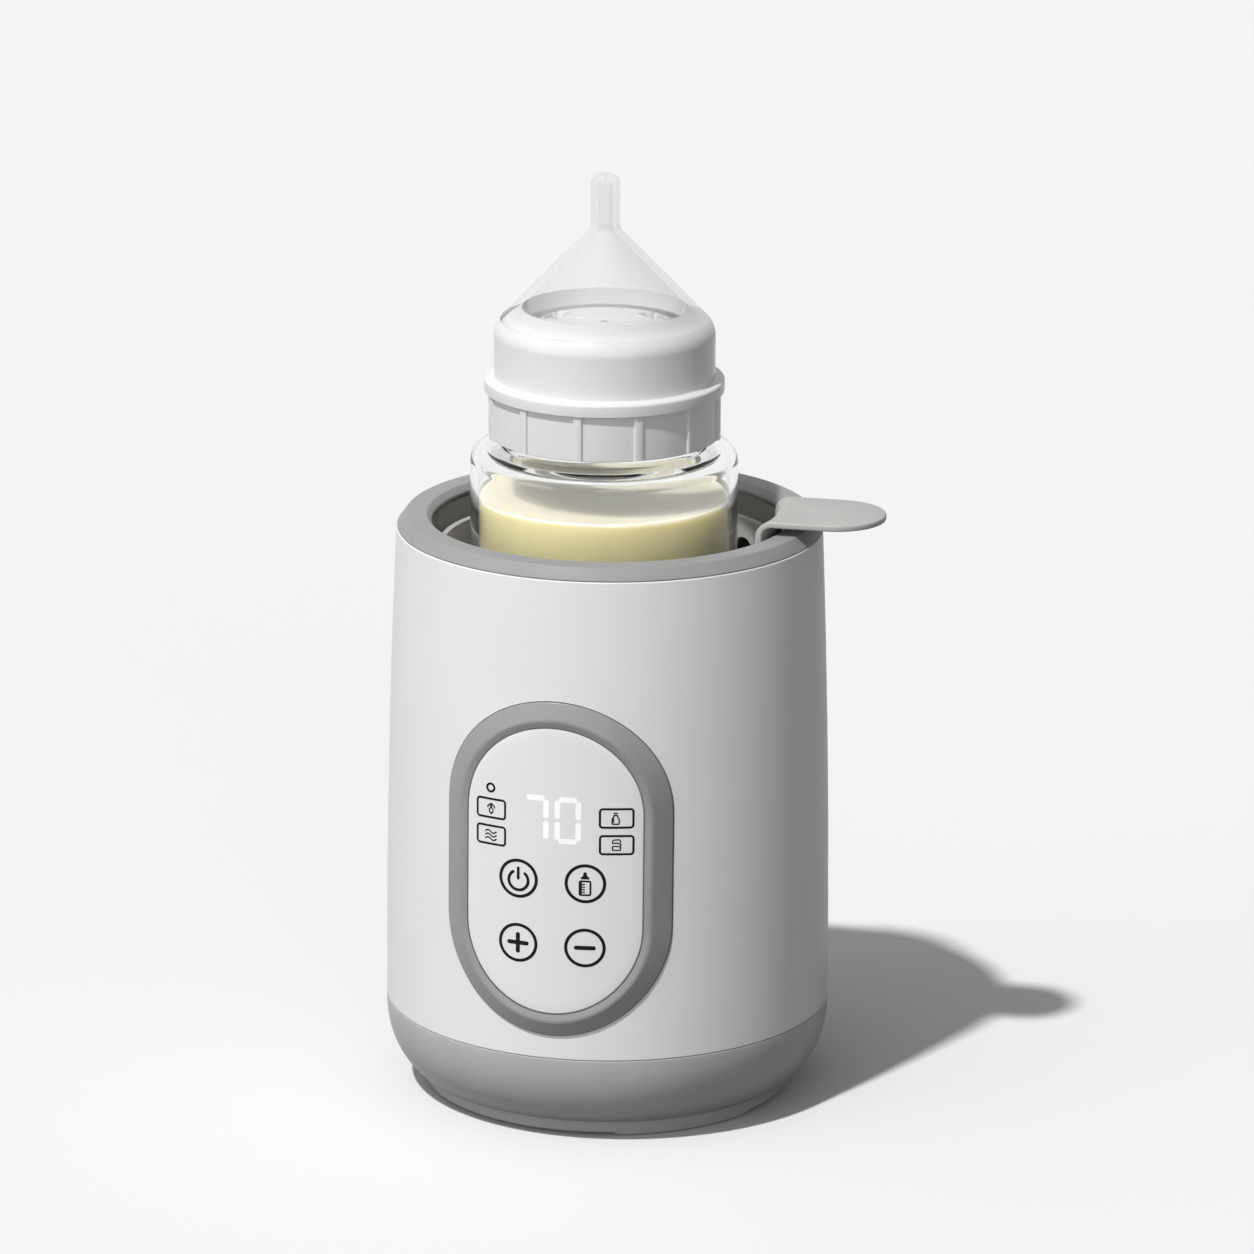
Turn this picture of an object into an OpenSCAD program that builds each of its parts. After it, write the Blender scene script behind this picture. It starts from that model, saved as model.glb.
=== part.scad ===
// Bottle warmer: a heated well in a round body, a lift-out basket with a finger paddle, a touch
// panel, and a wide-neck feeding bottle with a screw collar and a teat.
// The origin is on the body's axis at the surface it stands on, +Z is up and the panel faces -Y.

/* [Body] */
// Greatest outside diameter of the body
body_d = 115; // [108:1:140]
// Height from the table to the top of the rim
body_h = 152.3; // [146:0.1:185]
// How far the side draws in, on the radius, from the widest line to the rim
draw_in = 2.8; // [0.5:0.1:4]
// Height of the widest line of the body
widest_z = 22; // [20:0.5:23]
// Wall of the plastic shells
shell_wall = 2.2; // [1.6:0.1:2.6]
// Height of the line where the side meets the bottom shell
lower_seam_z = 23.66; // [23:0.01:26]
// Width of the curve that rounds the bottom shell in towards its foot
bowl_w = 14.3; // [12:0.1:16]
// Height of the curve that rounds the bottom shell in towards its foot
bowl_h = 19.5; // [18.5:0.1:21]
// Gap drawn between two pieces that rest on each other
fit = 0.2; // [0.1:0.05:0.3]

/* [Foot] */
// Outside diameter of the base plate
foot_d = 95.4; // [80:0.2:97]
// Height of the bottom shell's floor above the table
foot_h = 4.5; // [4:0.1:6]
// Height of the base plate's skirt above the table
skirt_z = 0.8; // [0.5:0.1:1.2]
// Width of the anti-slip ring
grip_w = 6; // [4:0.5:10]

/* [Rim] */
// Height of the sloping outer band of the rim
rim_slope_h = 3.24; // [2:0.01:5]
// Width of the sloping outer band of the rim
rim_slope_w = 2.4; // [1:0.1:4]
// Thickness of the rim's flat top
rim_t = 2.2; // [1.8:0.1:3]
// Width of the slope on the rim's inner lip
lip_w = 1.3; // [0.5:0.1:2]
// Depth of the rim's skirt inside the side shell
skirt_depth = 9; // [8:0.5:12]

/* [Well] */
// Inside diameter of the heated pot
pot_d = 91; // [76:0.5:92]
// Depth of the pot's floor below the rim
pot_depth = 102.3; // [85:0.1:104]
// Wall of the pot
pot_wall = 1; // [0.8:0.1:1.4]
// Depth of the pot's fixing flange below the rim
flange_depth = 9.3; // [8.5:0.1:11]

/* [Basket] */
// Gap between the basket and the pot's wall
basket_gap = 1.3; // [0.8:0.1:3]
// Wall of the basket
basket_wall = 1.6; // [1.2:0.1:2.4]
// Depth of the basket's top edge below the rim
basket_drop = 8; // [4:0.1:15]
// Diameter of the water holes
hole_d = 9.2; // [6:0.1:12]
// Depth of the top row of holes below the basket's edge
hole_drop = 9.8; // [8:0.1:16]
// Height between two rows of holes
hole_pitch = 18; // [14:0.5:24]
// Number of holes in a row
hole_count = 10; // [6:2:12]
// Width of the paddle
paddle_w = 26.4; // [18:0.2:32]
// Reach of the paddle from the body's axis
paddle_reach = 71.8; // [66:0.1:90]
// Thickness of the paddle and its strap
paddle_t = 1.6; // [1.4:0.1:2.4]
// Height of the paddle's underside above the rim
paddle_gap = 2.1; // [1.5:0.1:6]
// Inside radius of the strap's bend
paddle_bend = 2.5; // [1.5:0.1:3.5]
// Direction of the paddle, turned from +X towards the front
paddle_turn = -12.5; // [-40:0.5:40]

/* [Panel] */
// Direction of the panel, turned from -Y towards -X
panel_turn = -14.1; // [-30:0.1:30]
// Height of the panel's middle
panel_z = 73.95; // [72:0.05:84]
// Half of the bezel's outside width
bezel_r = 29.15; // [26:0.05:31]
// Width of the bezel's ring
bezel_w = 6.1; // [4:0.1:7]
// Half of the panel's straight length
panel_straight = 14.65; // [8:0.05:18]
// How far the bezel stands proud of the side
bezel_proud = 2.4; // [1:0.1:3]
// How far the lens stands proud of the side
lens_proud = 1.9; // [-1:0.1:2.2]
// Width of the bezel's lip inside the window
bezel_lip = 1.6; // [1:0.1:2.4]
// Distance from the side's inner surface to the display board
board_depth = 5.4; // [5:0.1:9]

/* [Bottle] */
// How far the bottle stands from the basket's axis, along X
bottle_shift = -1.5; // [-3:0.1:3]
// Outside diameter of the bottle
bottle_d = 68.6; // [56:0.2:70]
// Height of the bottle from its base to its shoulder
bottle_h = 116.7; // [97:0.1:141]
// Thickness of the glass
glass_wall = 2.3; // [1.8:0.1:3]
// Radius of the shoulder
shoulder_r = 4.5; // [3:0.1:5]
// Outside diameter of the neck
neck_d = 51.2; // [50:0.2:52]
// Height of the neck above the shoulder
neck_h = 28.4; // [26:0.1:32]
// Height of the milk above the bottle's base
milk_h = 104.1; // [40:0.1:108]

/* [Collar and teat] */
// Outside diameter over the collar's ledge
collar_d = 61.4; // [60.8:0.1:68]
// Outside diameter over the collar's ribs
rib_d = 60.4; // [60:0.1:66]
// Number of ribs around the collar
rib_count = 12; // [8:1:24]
// Width of a rib
rib_w = 2.2; // [1:0.1:4]
// Depth of the panels between the ribs
rib_depth = 0.6; // [0.3:0.1:0.8]
// Height of the collar's ribbed skirt
rib_h = 11.7; // [9:0.1:14]
// Height of the ledge above the ribs
ledge_h = 3.4; // [2:0.1:5]
// Outside diameter of the collar's upper tier
tier_d = 56.5; // [56:0.1:58]
// Rise of the thread in one turn
thread_lead = 8; // [6:0.5:10]
// Rise of the teat's cone for each millimetre that it narrows
cone_slope = 1.035; // [0.8:0.005:1.3]
// Wall of the teat
teat_wall = 2.1; // [1.5:0.1:2.4]
// Outside diameter of the teat's tip
tip_d = 7.4; // [6:0.1:12]
// Length of the teat's tip
tip_h = 14; // [10:0.1:20]
// Diameter of the passage in the tip
tip_bore_d = 3.6; // [2:0.1:4]

/* [Power] */
// Height of the power inlet's middle
inlet_z = 36; // [35:0.5:37]
// Diameter of an inlet pin
pin_d = 2.36; // [2:0.01:2.6]
// Distance between the inlet pins
pin_pitch = 8.6; // [8:0.1:9.5]
// Diameter of the heating element's tube
element_d = 6; // [5:0.1:6.4]

/* [Hidden] */
$fn = 64;
body_r = body_d / 2;
seam = 0.1;
rest = 0.05;
past = 1;
through = 20;
rim_seam_z = body_h - rim_slope_h;
rim_under_z = body_h - rim_t;
shell_top_r = body_r - draw_in;
crease_r = shell_top_r - rim_slope_w;
skirt_t = 1.6;
skirt_r = shell_top_r - shell_wall - fit;
pot_r = pot_d / 2;
pot_out_r = pot_r + pot_wall;
pot_floor_z = body_h - pot_depth;
pot_floor_t = 1.5;
pot_under_z = pot_floor_z - pot_floor_t;
flange_z = body_h - flange_depth;
flange_t = 1.2;
flange_r = skirt_r - skirt_t - 0.3;
pot_top_z = rim_under_z - 0.8;
pot_screw_ring = pot_out_r + 2.4;
pot_screw_r = 1;
pot_boss_r = 2.3;
seal_gap = 0.1;

tongue_h = 3.4;
tongue_t = 1.4;
floor_t = 2.4;
post_ring = body_r - 14.5;
post_r = 4.4;
post_angles = [45, 135, 225, 315];
post_top_z = lower_seam_z + 0.8;
head_seat_z = 16;
boss_top_z = min(pot_under_z - 4.5, panel_z - panel_straight - 8);
screw_r = 1.45;
screw_play = 0.12;
shell_boss_r = 3.8;
web_t = 2.4;
head_well_r = 3.3;
standoff_r = 3;
plate_z = 2.4;
plate_screw_ring = 25;
plate_screw_r = 1.2;
plate_screw_h = 7;
foot_r = foot_d / 2;
foot_lobe = 46;
foot_lobe_turn = -64;
foot_lobe_z = 0.1;
skirt_w = 3;

heater_t = 4;
heater_top_z = pot_under_z - fit;
heater_under_z = heater_top_z - heater_t;
heater_r = pot_r - 7.5;
nut_h = 3.2;
nut_r = 3.9;
blade_t = 0.8;
probe_r = 2.9;
cutout_r = 7.5;
cutout_h = 7;
cutout_at = [13, 7.5];
cutout_turn = -60;
cutout_pitch = 23.8;
cutout_screw_r = 1.1;
ear_t = 0.8;
ear_half = [cutout_pitch / 2 + 3, 3];
cutout_reach = norm([norm(cutout_at) + ear_half[1], ear_half[0]]);
element_ring = max(heater_r - 7, cutout_reach + element_d / 2 + 0.5);
element_z = heater_under_z - fit / 2 - element_d / 2;
element_turn = -50;
stud_r = 2;
stud_ring = element_ring - element_d / 2 - nut_r - 0.6;
stud_angles = [105, 210, 315];

basket_r = pot_r - basket_gap;
basket_in_r = basket_r - basket_wall;
basket_top_z = body_h - basket_drop;
basket_feet = 2;
basket_foot_r = 3;
first_hole = 35;
drain_r = 6;
basket_floor_z = pot_floor_z + basket_feet;
hole_rows = floor((basket_top_z - hole_drop - basket_floor_z - hole_d) / hole_pitch);
paddle_under_z = body_h + paddle_gap;
strap_top_z = paddle_under_z - paddle_bend;
strap_r = basket_r + paddle_bend;

bottle_r = bottle_d / 2;
bottle_z = basket_floor_z + basket_wall + 0.3;
shoulder_z = bottle_z + bottle_h;
glass_floor = 3;
glass_neck_t = 2.4;
heel_r = 4;
corner_r = 3;
neck_r = neck_d / 2;
neck_top_z = shoulder_z + neck_h;
milk_play = 0.1;
cavity_r = bottle_r - glass_wall;

disc_t = 1.2;
disc_z = neck_top_z + seam;
flange_low_z = disc_z + disc_t + seam;
flange_thick = 1.6;
flange_out_r = neck_r - 0.4;
lip_z = flange_low_z + flange_thick + seam;
opening_r = neck_r - 4.4;
collar_z = shoulder_z + 2.7;
first_rib = 17;
ledge_z = collar_z + rib_h;
tier_z = ledge_z + ledge_h;
tier_r = tier_d / 2;
tier_top_z = lip_z + 1.3;
cone_r = tier_r - 1.65;
cone_angle = atan(1 / cone_slope);
tier_round = (tier_r - cone_r) / (1 - cos(cone_angle));
cone_fall = 1.2;
seat_slope = cone_slope * 0.75;
tip_r = tip_d / 2;
tip_z = tier_top_z + (cone_r - tip_r) * cone_slope;
teat_top_z = tip_z + tip_h;
thread_w = 2;
thread_start_z = collar_z + 1.6;

board_t = 1.2;
board_screw_r = 1;
board_boss_r = 2.2;
lens_back = 1;
lens_lap = 1.5;
window_r = bezel_r - bezel_w + bezel_lip;
lens_r = bezel_r - bezel_w - fit;
board_y = side_r(panel_z) - shell_wall - board_depth;
board_reach = panel_straight + window_r + 3.6;
board_half = sqrt(pow(side_r(panel_z + board_reach * 0.75) - shell_wall - lens_back - 2 * fit, 2)
    - pow(board_y, 2)) - 0.2;
board_screw_x = board_half - 3;
board_screw_z = board_reach - 3;
key_x = 8.8;
key_z = [-3.2, -20.3];
spring_r = 3.4;
spring_turns = 3;
spring_wire_r = 0.3;
digits_x = 0.7;
digits_z = 13.2;
display_size = [18, 15, 2.7];
lamp_size = [2.4, 2.4, 0.7];
lamp_at = [[-16.2, 19.7], [-16.2, 14.2], [-16.2, 7.2], [16.2, 14.1], [16.2, 7.1]];

power_z = 13;
power_t = 1.6;
power_top_z = power_z + power_t;
power_half = [32, 24];
power_screw_at = [power_half[0] - 4, power_half[1] - 4];
power_screw_r = 1.15;
terminal_size = [16, 8, 10];
terminal_at = [-3, 18];
heater_terminal_at = [14, -17];
heater_terminal_w = 14;
inlet_seat_y = side_r(inlet_z) - 4.8;
inlet_half = [17, 7];
inlet_plate_t = 1.6;
inlet_body_half = [inlet_half[0] - 6, inlet_half[1] - 1.2];
inlet_body_h = 17;
inlet_screw_x = 14;
inlet_screw_r = 1.1;
socket_depth = 11;
socket_w = 8.2;
pin_shoulder = 0.4;
pin_back = 22;

// Radius of the body's side at a height
function side_r(z) = body_r - draw_in * pow((z - widest_z) / (rim_seam_z - widest_z), 2);
// Evenly spaced values from a to b
function steps(a, b, n) = [for (i = [0:n]) a + (b - a) * i / n];
// Points of an arc or of an ellipse's arc
function arc(c, rx, ry, a, b, n) = [for (t = steps(a, b, n)) [c[0] + rx * cos(t), c[1] + ry * sin(t)]];
// Points on the side between two heights, set in by a wall
function side(z0, z1, inset, n) = [for (z = steps(z0, z1, n)) [side_r(z) - inset, z]];
// Height of the seat that the teat's skirt rests on, at a radius
function seat_z(r) = tier_top_z - cone_fall + (cone_r - r) * seat_slope;
// Curve of the bottom shell, from the foot up, set in by a wall
function bowl(z, inset) = arc([body_r - bowl_w, widest_z], bowl_w - inset, bowl_h - inset,
    -asin((widest_z - z) / (bowl_h - inset)), 0, 12);

// Turns its children to each of the angles
module around(angles) {
    for (a = angles) rotate([0, 0, a]) children();
}

// Evenly spaced copies around the axis
module ring_of(count, first = 0) {
    for (i = [0:count - 1]) rotate([0, 0, first + i * 360 / count]) children();
}

// Band of the side between two depths below its surface
module side_band(z0, z1, outer, inner) {
    rotate_extrude() polygon(concat(side(z0, z1, outer, 10), side(z1, z0, inner, 10)));
}

// Stadium outline of the panel
module stadium(r) {
    square([2 * r, 2 * panel_straight], center = true);
    translate([0, panel_straight]) circle(r);
    translate([0, -panel_straight]) circle(r);
}

// Stadium bar that runs out through the side where the panel is
module panel_bar(r) {
    rotate([0, 0, panel_turn]) translate([0, -board_y + 6, panel_z]) rotate([90, 0, 0])
        linear_extrude(height = 30) stadium(r);
}

// Places its children on the display board, x across, y up and z outwards
module on_board(x, y, lift) {
    rotate([0, 0, panel_turn]) translate([x, -board_y - lift, panel_z + y]) rotate([90, 0, 0]) children();
}

// Screw with its head below z = 0 and its shank above
module screw(r, length, head_r, head_h) {
    cylinder(r = r, h = length);
    difference() {
        translate([0, 0, -head_h]) cylinder(r = head_r, h = head_h);
        translate([0, 0, -head_h - 0.01]) cylinder(r = head_r * 0.5, h = head_h * 0.5, $fn = 6);
    }
}

// Unit vector across a path's direction
function unit(v) = v / norm(v);
function across(d) = unit(abs(d[2]) > 0.9 * norm(d) ? cross(d, [0, 1, 0]) : cross(d, [0, 0, 1]));
// Point of a smooth curve through the path's points
function curve_at(p, i, t) = let (a = p[max(i - 1, 0)], b = p[i], c = p[i + 1],
    d = p[min(i + 2, len(p) - 1)]) 0.5 * (2 * b + (c - a) * t + (2 * a - 5 * b + 4 * c - d) * t * t
    + (3 * b - a - 3 * c + d) * t * t * t);
function smooth(p, n) = [for (i = [0:len(p) - 2], j = [0:n - 1]) curve_at(p, i, j / n), p[len(p) - 1]];

// Round wire along a path
module wire(path, r, sides = 8) {
    last = len(path) - 1;
    rings = [for (i = [0:last]) let (d = unit(path[min(i + 1, last)] - path[max(i - 1, 0)]),
        u = across(d), v = cross(d, u)) [for (k = [0:sides - 1]) path[i]
        + r * (u * cos(k * 360 / sides) + v * sin(k * 360 / sides))]];
    polyhedron([for (ring = rings, q = ring) q], concat(
        [[for (k = [0:sides - 1]) k]],
        [for (i = [0:last - 1], k = [0:sides - 1], h = [0, 1]) let (a = i * sides + k,
            b = i * sides + (k + 1) % sides) h == 0 ? [a, a + sides, b] : [b, a + sides, b + sides]],
        [[for (k = [sides - 1:-1:0]) last * sides + k]]));
}

// One ridge of the screw thread, from its root radius to its crest radius
module thread(root, crest, turns, start_z, start_turn) {
    n = ceil(turns * 36);
    half_root = thread_w / 2;
    half_crest = thread_w / 4;
    rings = [for (i = [0:n]) let (a = start_turn + i * turns * 360 / n, z = start_z + thread_lead
        * turns * i / n) [for (q = [[root, -half_root], [crest, -half_crest], [crest, half_crest],
        [root, half_root]]) [q[0] * cos(a), q[0] * sin(a), z + q[1]]]];
    flip = crest < root;
    quads = [for (i = [0:n - 1], k = [0:3], h = [0, 1]) let (a = 4 * i + k, b = 4 * i + (k + 1) % 4)
        h == 0 ? [a, b, a + 4] : [b, b + 4, a + 4]];
    all = concat(quads, [[0, 3, 2], [0, 2, 1], [4 * n, 4 * n + 1, 4 * n + 2],
        [4 * n, 4 * n + 2, 4 * n + 3]]);
    polyhedron([for (ring = rings, q = ring) q], [for (f = all) flip ? [f[2], f[1], f[0]] : f]);
}

// Side shell with its screw bosses, board bosses and the seat of the power inlet
module outer_shell() {
    color("white") difference() {
        union() {
            side_band(lower_seam_z + seam, rim_seam_z - seam, 0, shell_wall);
            around(post_angles) shell_boss();
            board_bosses();
            inlet_pad();
        }
        panel_bar(window_r);
        around(post_angles) translate([post_ring, 0, post_top_z])
            cylinder(r = screw_r + screw_play, h = boss_top_z - post_top_z - 3);
        for (x = [-1, 1], y = [-1, 1]) on_board(x * board_screw_x, y * board_screw_z, -seam)
            cylinder(r = board_screw_r + screw_play, h = 3.4);
        inlet_cuts();
    }
}

// Boss that takes a screw from the bottom shell, with its web to the wall
module shell_boss() {
    translate([post_ring, 0, post_top_z + fit])
        cylinder(r = shell_boss_r, h = boss_top_z - post_top_z - fit);
    translate([post_ring, -web_t / 2, lower_seam_z + tongue_h + 1])
        cube([side_r(inlet_z) - post_ring - 1, web_t, boss_top_z - lower_seam_z - tongue_h - 1]);
}

// Four short bosses behind the panel that carry the display board
module board_bosses() {
    for (x = [-1, 1], y = [-1, 1]) intersection() {
        on_board(x * board_screw_x, y * board_screw_z, 0) cylinder(r = board_boss_r, h = 8);
        side_band(lower_seam_z + 4, rim_seam_z - 4, 0.8, 14);
    }
}

// Thick patch inside the back of the side shell behind the power inlet
module inlet_pad() {
    intersection() {
        translate([-inlet_half[0] - 3, inlet_seat_y - 3, inlet_z - inlet_half[1] - 1.2])
            cube([2 * inlet_half[0] + 6, 10, 2 * inlet_half[1] + 2.4]);
        side_band(lower_seam_z + tongue_h + 0.3, rim_seam_z - 4, 0.5, 14);
    }
}

// Recess, window and screw holes of the power inlet
module inlet_cuts() {
    translate([0, inlet_seat_y, inlet_z]) rotate([-90, 0, 0]) {
        linear_extrude(height = through) square(2 * (inlet_half + [fit, fit]), center = true);
        translate([0, 0, -through / 2]) linear_extrude(height = through)
            square(2 * (inlet_body_half + [fit, fit]), center = true);
        for (x = [-inlet_screw_x, inlet_screw_x]) translate([x, 0, -through / 2])
            cylinder(r = inlet_screw_r + screw_play, h = through);
    }
}

// Rim of the body, with its skirt inside the side shell and the bosses that carry the pot
module top_ring() {
    color("darkgray") difference() {
        union() {
            rotate_extrude() polygon([[shell_top_r, rim_seam_z], [crease_r, body_h],
                [pot_r + seal_gap + lip_w, body_h], [pot_r + seal_gap, body_h - 1.6],
                [pot_r + seal_gap, rim_under_z],
                [skirt_r - skirt_t, rim_under_z], [skirt_r - skirt_t, rim_seam_z - skirt_depth],
                [skirt_r, rim_seam_z - skirt_depth], [skirt_r, rim_seam_z]]);
            ring_of(4, 20) translate([pot_screw_ring, 0, flange_z + fit])
                cylinder(r = pot_boss_r, h = rim_under_z + 0.5 - flange_z - fit);
        }
        ring_of(4, 20) translate([pot_screw_ring, 0, flange_z])
            cylinder(r = pot_screw_r + screw_play, h = rim_under_z - flange_z);
    }
}

// Rounded bottom shell with its tongue, screw posts and board stand-offs
module bottom_shell() {
    floor_top_z = foot_h + floor_t;
    tongue_r = side_r(lower_seam_z) - shell_wall - fit;
    inner = bowl(floor_top_z, floor_t);
    color("darkgray") difference() {
        union() {
            rotate_extrude() polygon(concat([[0, foot_h]], bowl(foot_h, 0),
                [[side_r(lower_seam_z), lower_seam_z], [tongue_r, lower_seam_z],
                [tongue_r, lower_seam_z + tongue_h], [tongue_r - tongue_t, lower_seam_z + tongue_h],
                [tongue_r - tongue_t, widest_z]],
                [for (i = [len(inner) - 2:-1:0]) inner[i] - [0.3, 0]], [[0, floor_top_z]]));
            around(post_angles) translate([post_ring, 0, foot_h + 1])
                cylinder(r = post_r, h = post_top_z - foot_h - 1);
            at_power_screws(floor_top_z - 0.5)
                cylinder(r = standoff_r, h = power_z - fit / 2 - floor_top_z + 0.5);
            ring_of(3, 30) translate([plate_screw_ring, 0, floor_top_z - 0.5])
                cylinder(r = standoff_r, h = 4.2);
        }
        around(post_angles) translate([post_ring, 0, 0]) {
            cylinder(r = head_well_r, h = head_seat_z);
            cylinder(r = screw_r + 0.25, h = post_top_z + past);
        }
        at_power_screws(floor_top_z) cylinder(r = power_screw_r + screw_play, h = through);
        ring_of(3, 30) translate([plate_screw_ring, 0, 0])
            cylinder(r = plate_screw_r + screw_play, h = 9.8);
    }
}

// Places its children at the four screws of the power board
module at_power_screws(z) {
    for (x = [-1, 1], y = [-1, 1]) translate([x * power_screw_at[0], y * power_screw_at[1], z]) children();
}

// Base plate that covers the screws, with a skirt that is lower along two arcs
module base_plate() {
    color("darkgray") difference() {
        rotate_extrude() polygon([[0, plate_z], [foot_r - skirt_w, plate_z],
            [foot_r - skirt_w, foot_lobe_z], [foot_r, foot_lobe_z], [foot_r, foot_h - seam],
            [0, foot_h - seam]]);
        around([foot_lobe_turn, foot_lobe_turn + 180]) rotate([0, 0, -90 + foot_lobe / 2])
            rotate_extrude(angle = 180 - foot_lobe) translate([foot_r - skirt_w - past, -past])
            square([skirt_w + 2 * past, skirt_z + past]);
        ring_of(3, 30) translate([plate_screw_ring, 0, 0])
            cylinder(r = plate_screw_r + screw_play, h = foot_h + past);
    }
}

// Soft ring that the warmer stands on
module anti_slip_ring() {
    color("dimgray") rotate_extrude() translate([foot_r - skirt_w - 0.5 - grip_w, 0])
        square([grip_w, plate_z - rest]);
}

// Long screws that draw the bottom shell onto the side shell
module shell_screws() {
    color("silver") around(post_angles) translate([post_ring, 0, head_seat_z - rest])
        screw(screw_r, post_top_z - head_seat_z + 10, 2.9, 2.4);
}

// Short screws that hold the base plate
module base_plate_screws() {
    color("silver") ring_of(3, 30) translate([plate_screw_ring, 0, plate_z - rest])
        screw(plate_screw_r, plate_screw_h, 2.6, 1.3);
}

// Coated pot with its fixing flange and the studs under its floor
module heating_pot() {
    color("dimgray") difference() {
        union() {
            rotate_extrude() polygon([[0, pot_under_z], [pot_out_r, pot_under_z],
                [pot_out_r, flange_z - flange_t], [flange_r, flange_z - flange_t], [flange_r, flange_z],
                [pot_out_r, flange_z], [pot_out_r, pot_top_z], [pot_r, pot_top_z],
                [pot_r, pot_floor_z + 3], [pot_r - 3, pot_floor_z], [0, pot_floor_z]]);
            around(stud_angles) translate([stud_ring, 0, heater_under_z - 5])
                cylinder(r = stud_r, h = pot_under_z - heater_under_z + 5.5);
        }
        translate([0, 0, pot_under_z - past]) cylinder(r = probe_r + 0.1, h = pot_floor_t + 2 * past);
        ring_of(4, 20) translate([pot_screw_ring, 0, flange_z - flange_t - past])
            cylinder(r = pot_screw_r + fit, h = flange_t + 2 * past);
    }
}

// Gasket between the pot's edge and the rim
module pot_seal() {
    color("gray") rotate_extrude() translate([pot_r + seal_gap, pot_top_z + rest])
        square([pot_wall - seal_gap, rim_under_z - pot_top_z - 2 * rest]);
}

// Screws that hang the pot from the rim
module pot_screws() {
    color("silver") ring_of(4, 20) translate([pot_screw_ring, 0, flange_z - flange_t - rest])
        screw(pot_screw_r, 6.5, 1.6, 1.2);
}

// Cast plate that spreads the heat under the pot
module heater_plate() {
    color("lightgray") difference() {
        translate([0, 0, heater_under_z]) cylinder(r = heater_r, h = heater_t);
        around(stud_angles) translate([stud_ring, 0, heater_under_z - past])
            cylinder(r = stud_r + 0.3, h = heater_t + 2 * past);
        translate([0, 0, heater_under_z - past]) cylinder(r = probe_r + 1.1, h = heater_t + 2 * past);
        cutout_holes(cutout_screw_r + screw_play, heater_under_z - past, 4);
    }
}

// Holes of the thermal cut-out's two fixing screws
module cutout_holes(r, z, h) {
    for (s = [-1, 1]) translate([cutout_at[0], cutout_at[1], z]) rotate([0, 0, cutout_turn])
        translate([s * cutout_pitch / 2, 0, 0]) cylinder(r = r, h = h);
}

// Bent tube element under the heater plate, with its two terminals
module heater_element() {
    color("sienna") translate([0, 0, element_z]) {
        rotate([0, 0, element_turn + 15]) rotate_extrude(angle = 330) translate([element_ring, 0])
            circle(element_d / 2);
        around([element_turn + 18, element_turn - 18]) translate([element_ring, 0, -9])
            cylinder(r = 1.4, h = 9);
    }
}

// Nuts on the pot's studs
module heater_nuts() {
    color("silver") around(stud_angles) translate([stud_ring, 0, heater_under_z - seam - nut_h])
        difference() {
        cylinder(r = nut_r, h = nut_h, $fn = 6);
        translate([0, 0, -past]) cylinder(r = stud_r + 0.08, h = nut_h + 2 * past);
    }
}

// Snap-disc thermal cut-out with its ears and blades
module thermal_cutout() {
    color("tan") difference() {
        translate([cutout_at[0], cutout_at[1], heater_under_z - fit]) rotate([0, 0, cutout_turn]) {
            translate([0, 0, -cutout_h]) cylinder(r = cutout_r, h = cutout_h);
            translate([0, 0, -ear_t]) linear_extrude(height = ear_t) square(2 * ear_half, center = true);
            for (s = [-1, 1]) translate([s * 4 - blade_t / 2, -2.5, -cutout_h - 6])
                cube([blade_t, 5, 6.5]);
        }
        cutout_holes(cutout_screw_r + fit + screw_play, heater_under_z - fit - ear_t - past, 6);
    }
}

// Screws of the thermal cut-out
module cutout_screws() {
    color("silver") for (s = [-1, 1])
        translate([cutout_at[0], cutout_at[1], heater_under_z - fit - ear_t - rest])
        rotate([0, 0, cutout_turn]) translate([s * cutout_pitch / 2, 0, 0])
        screw(cutout_screw_r, 3.5, 2.2, 1.4);
}

// One-shot thermal fuse lying against the heater plate
module thermal_fuse() {
    color("white") translate([-13, 5, heater_under_z - fit - 2]) rotate([0, 0, 60]) rotate([0, 90, 0]) {
        cylinder(r = 2, h = 11, center = true);
        cylinder(r = 0.5, h = 20, center = true);
    }
}

// Temperature probe through the middle of the pot's floor
module temperature_probe() {
    color("silver") {
        translate([0, 0, heater_under_z - 9]) cylinder(r = probe_r, h = pot_floor_z - heater_under_z + 8.9);
        translate([0, 0, heater_under_z + 0.3]) cylinder(r = probe_r + 0.8, h = heater_t - 0.3);
    }
}

// Raised ring around the touch panel, with its lip in the side shell's window
module panel_bezel() {
    z0 = panel_z - panel_straight - bezel_r - 3;
    z1 = panel_z + panel_straight + bezel_r + 3;
    color("gray") difference() {
        union() {
            intersection() {
                side_band(z0, z1, -bezel_proud, -rest);
                panel_bar(bezel_r);
            }
            intersection() {
                side_band(z0, z1, -bezel_proud / 2, shell_wall);
                panel_bar(window_r - 0.1);
            }
        }
        panel_bar(bezel_r - bezel_w);
    }
}

// Curved touch lens with a flange behind the window
module panel_lens() {
    z0 = panel_z - panel_straight - window_r - 3;
    z1 = panel_z + panel_straight + window_r + 3;
    color("whitesmoke") union() {
        intersection() {
            side_band(z0, z1, -lens_proud, shell_wall + fit + lens_back);
            panel_bar(lens_r);
        }
        intersection() {
            side_band(z0, z1, shell_wall + fit, shell_wall + fit + lens_back);
            panel_bar(window_r + lens_lap);
        }
    }
}

// Display board behind the panel
module display_board() {
    color("darkgreen") difference() {
        on_board(0, 0, -board_t) linear_extrude(height = board_t)
            square(2 * [board_half, board_reach], center = true);
        for (x = [-1, 1], y = [-1, 1]) on_board(x * board_screw_x, y * board_screw_z, -board_t - past)
            cylinder(r = board_screw_r + fit, h = board_t + 2 * past);
    }
}

// Two-digit display module
module display_module() {
    color("black") on_board(digits_x, digits_z, rest) linear_extrude(height = display_size[2])
        square([display_size[0], display_size[1]], center = true);
}

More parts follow.
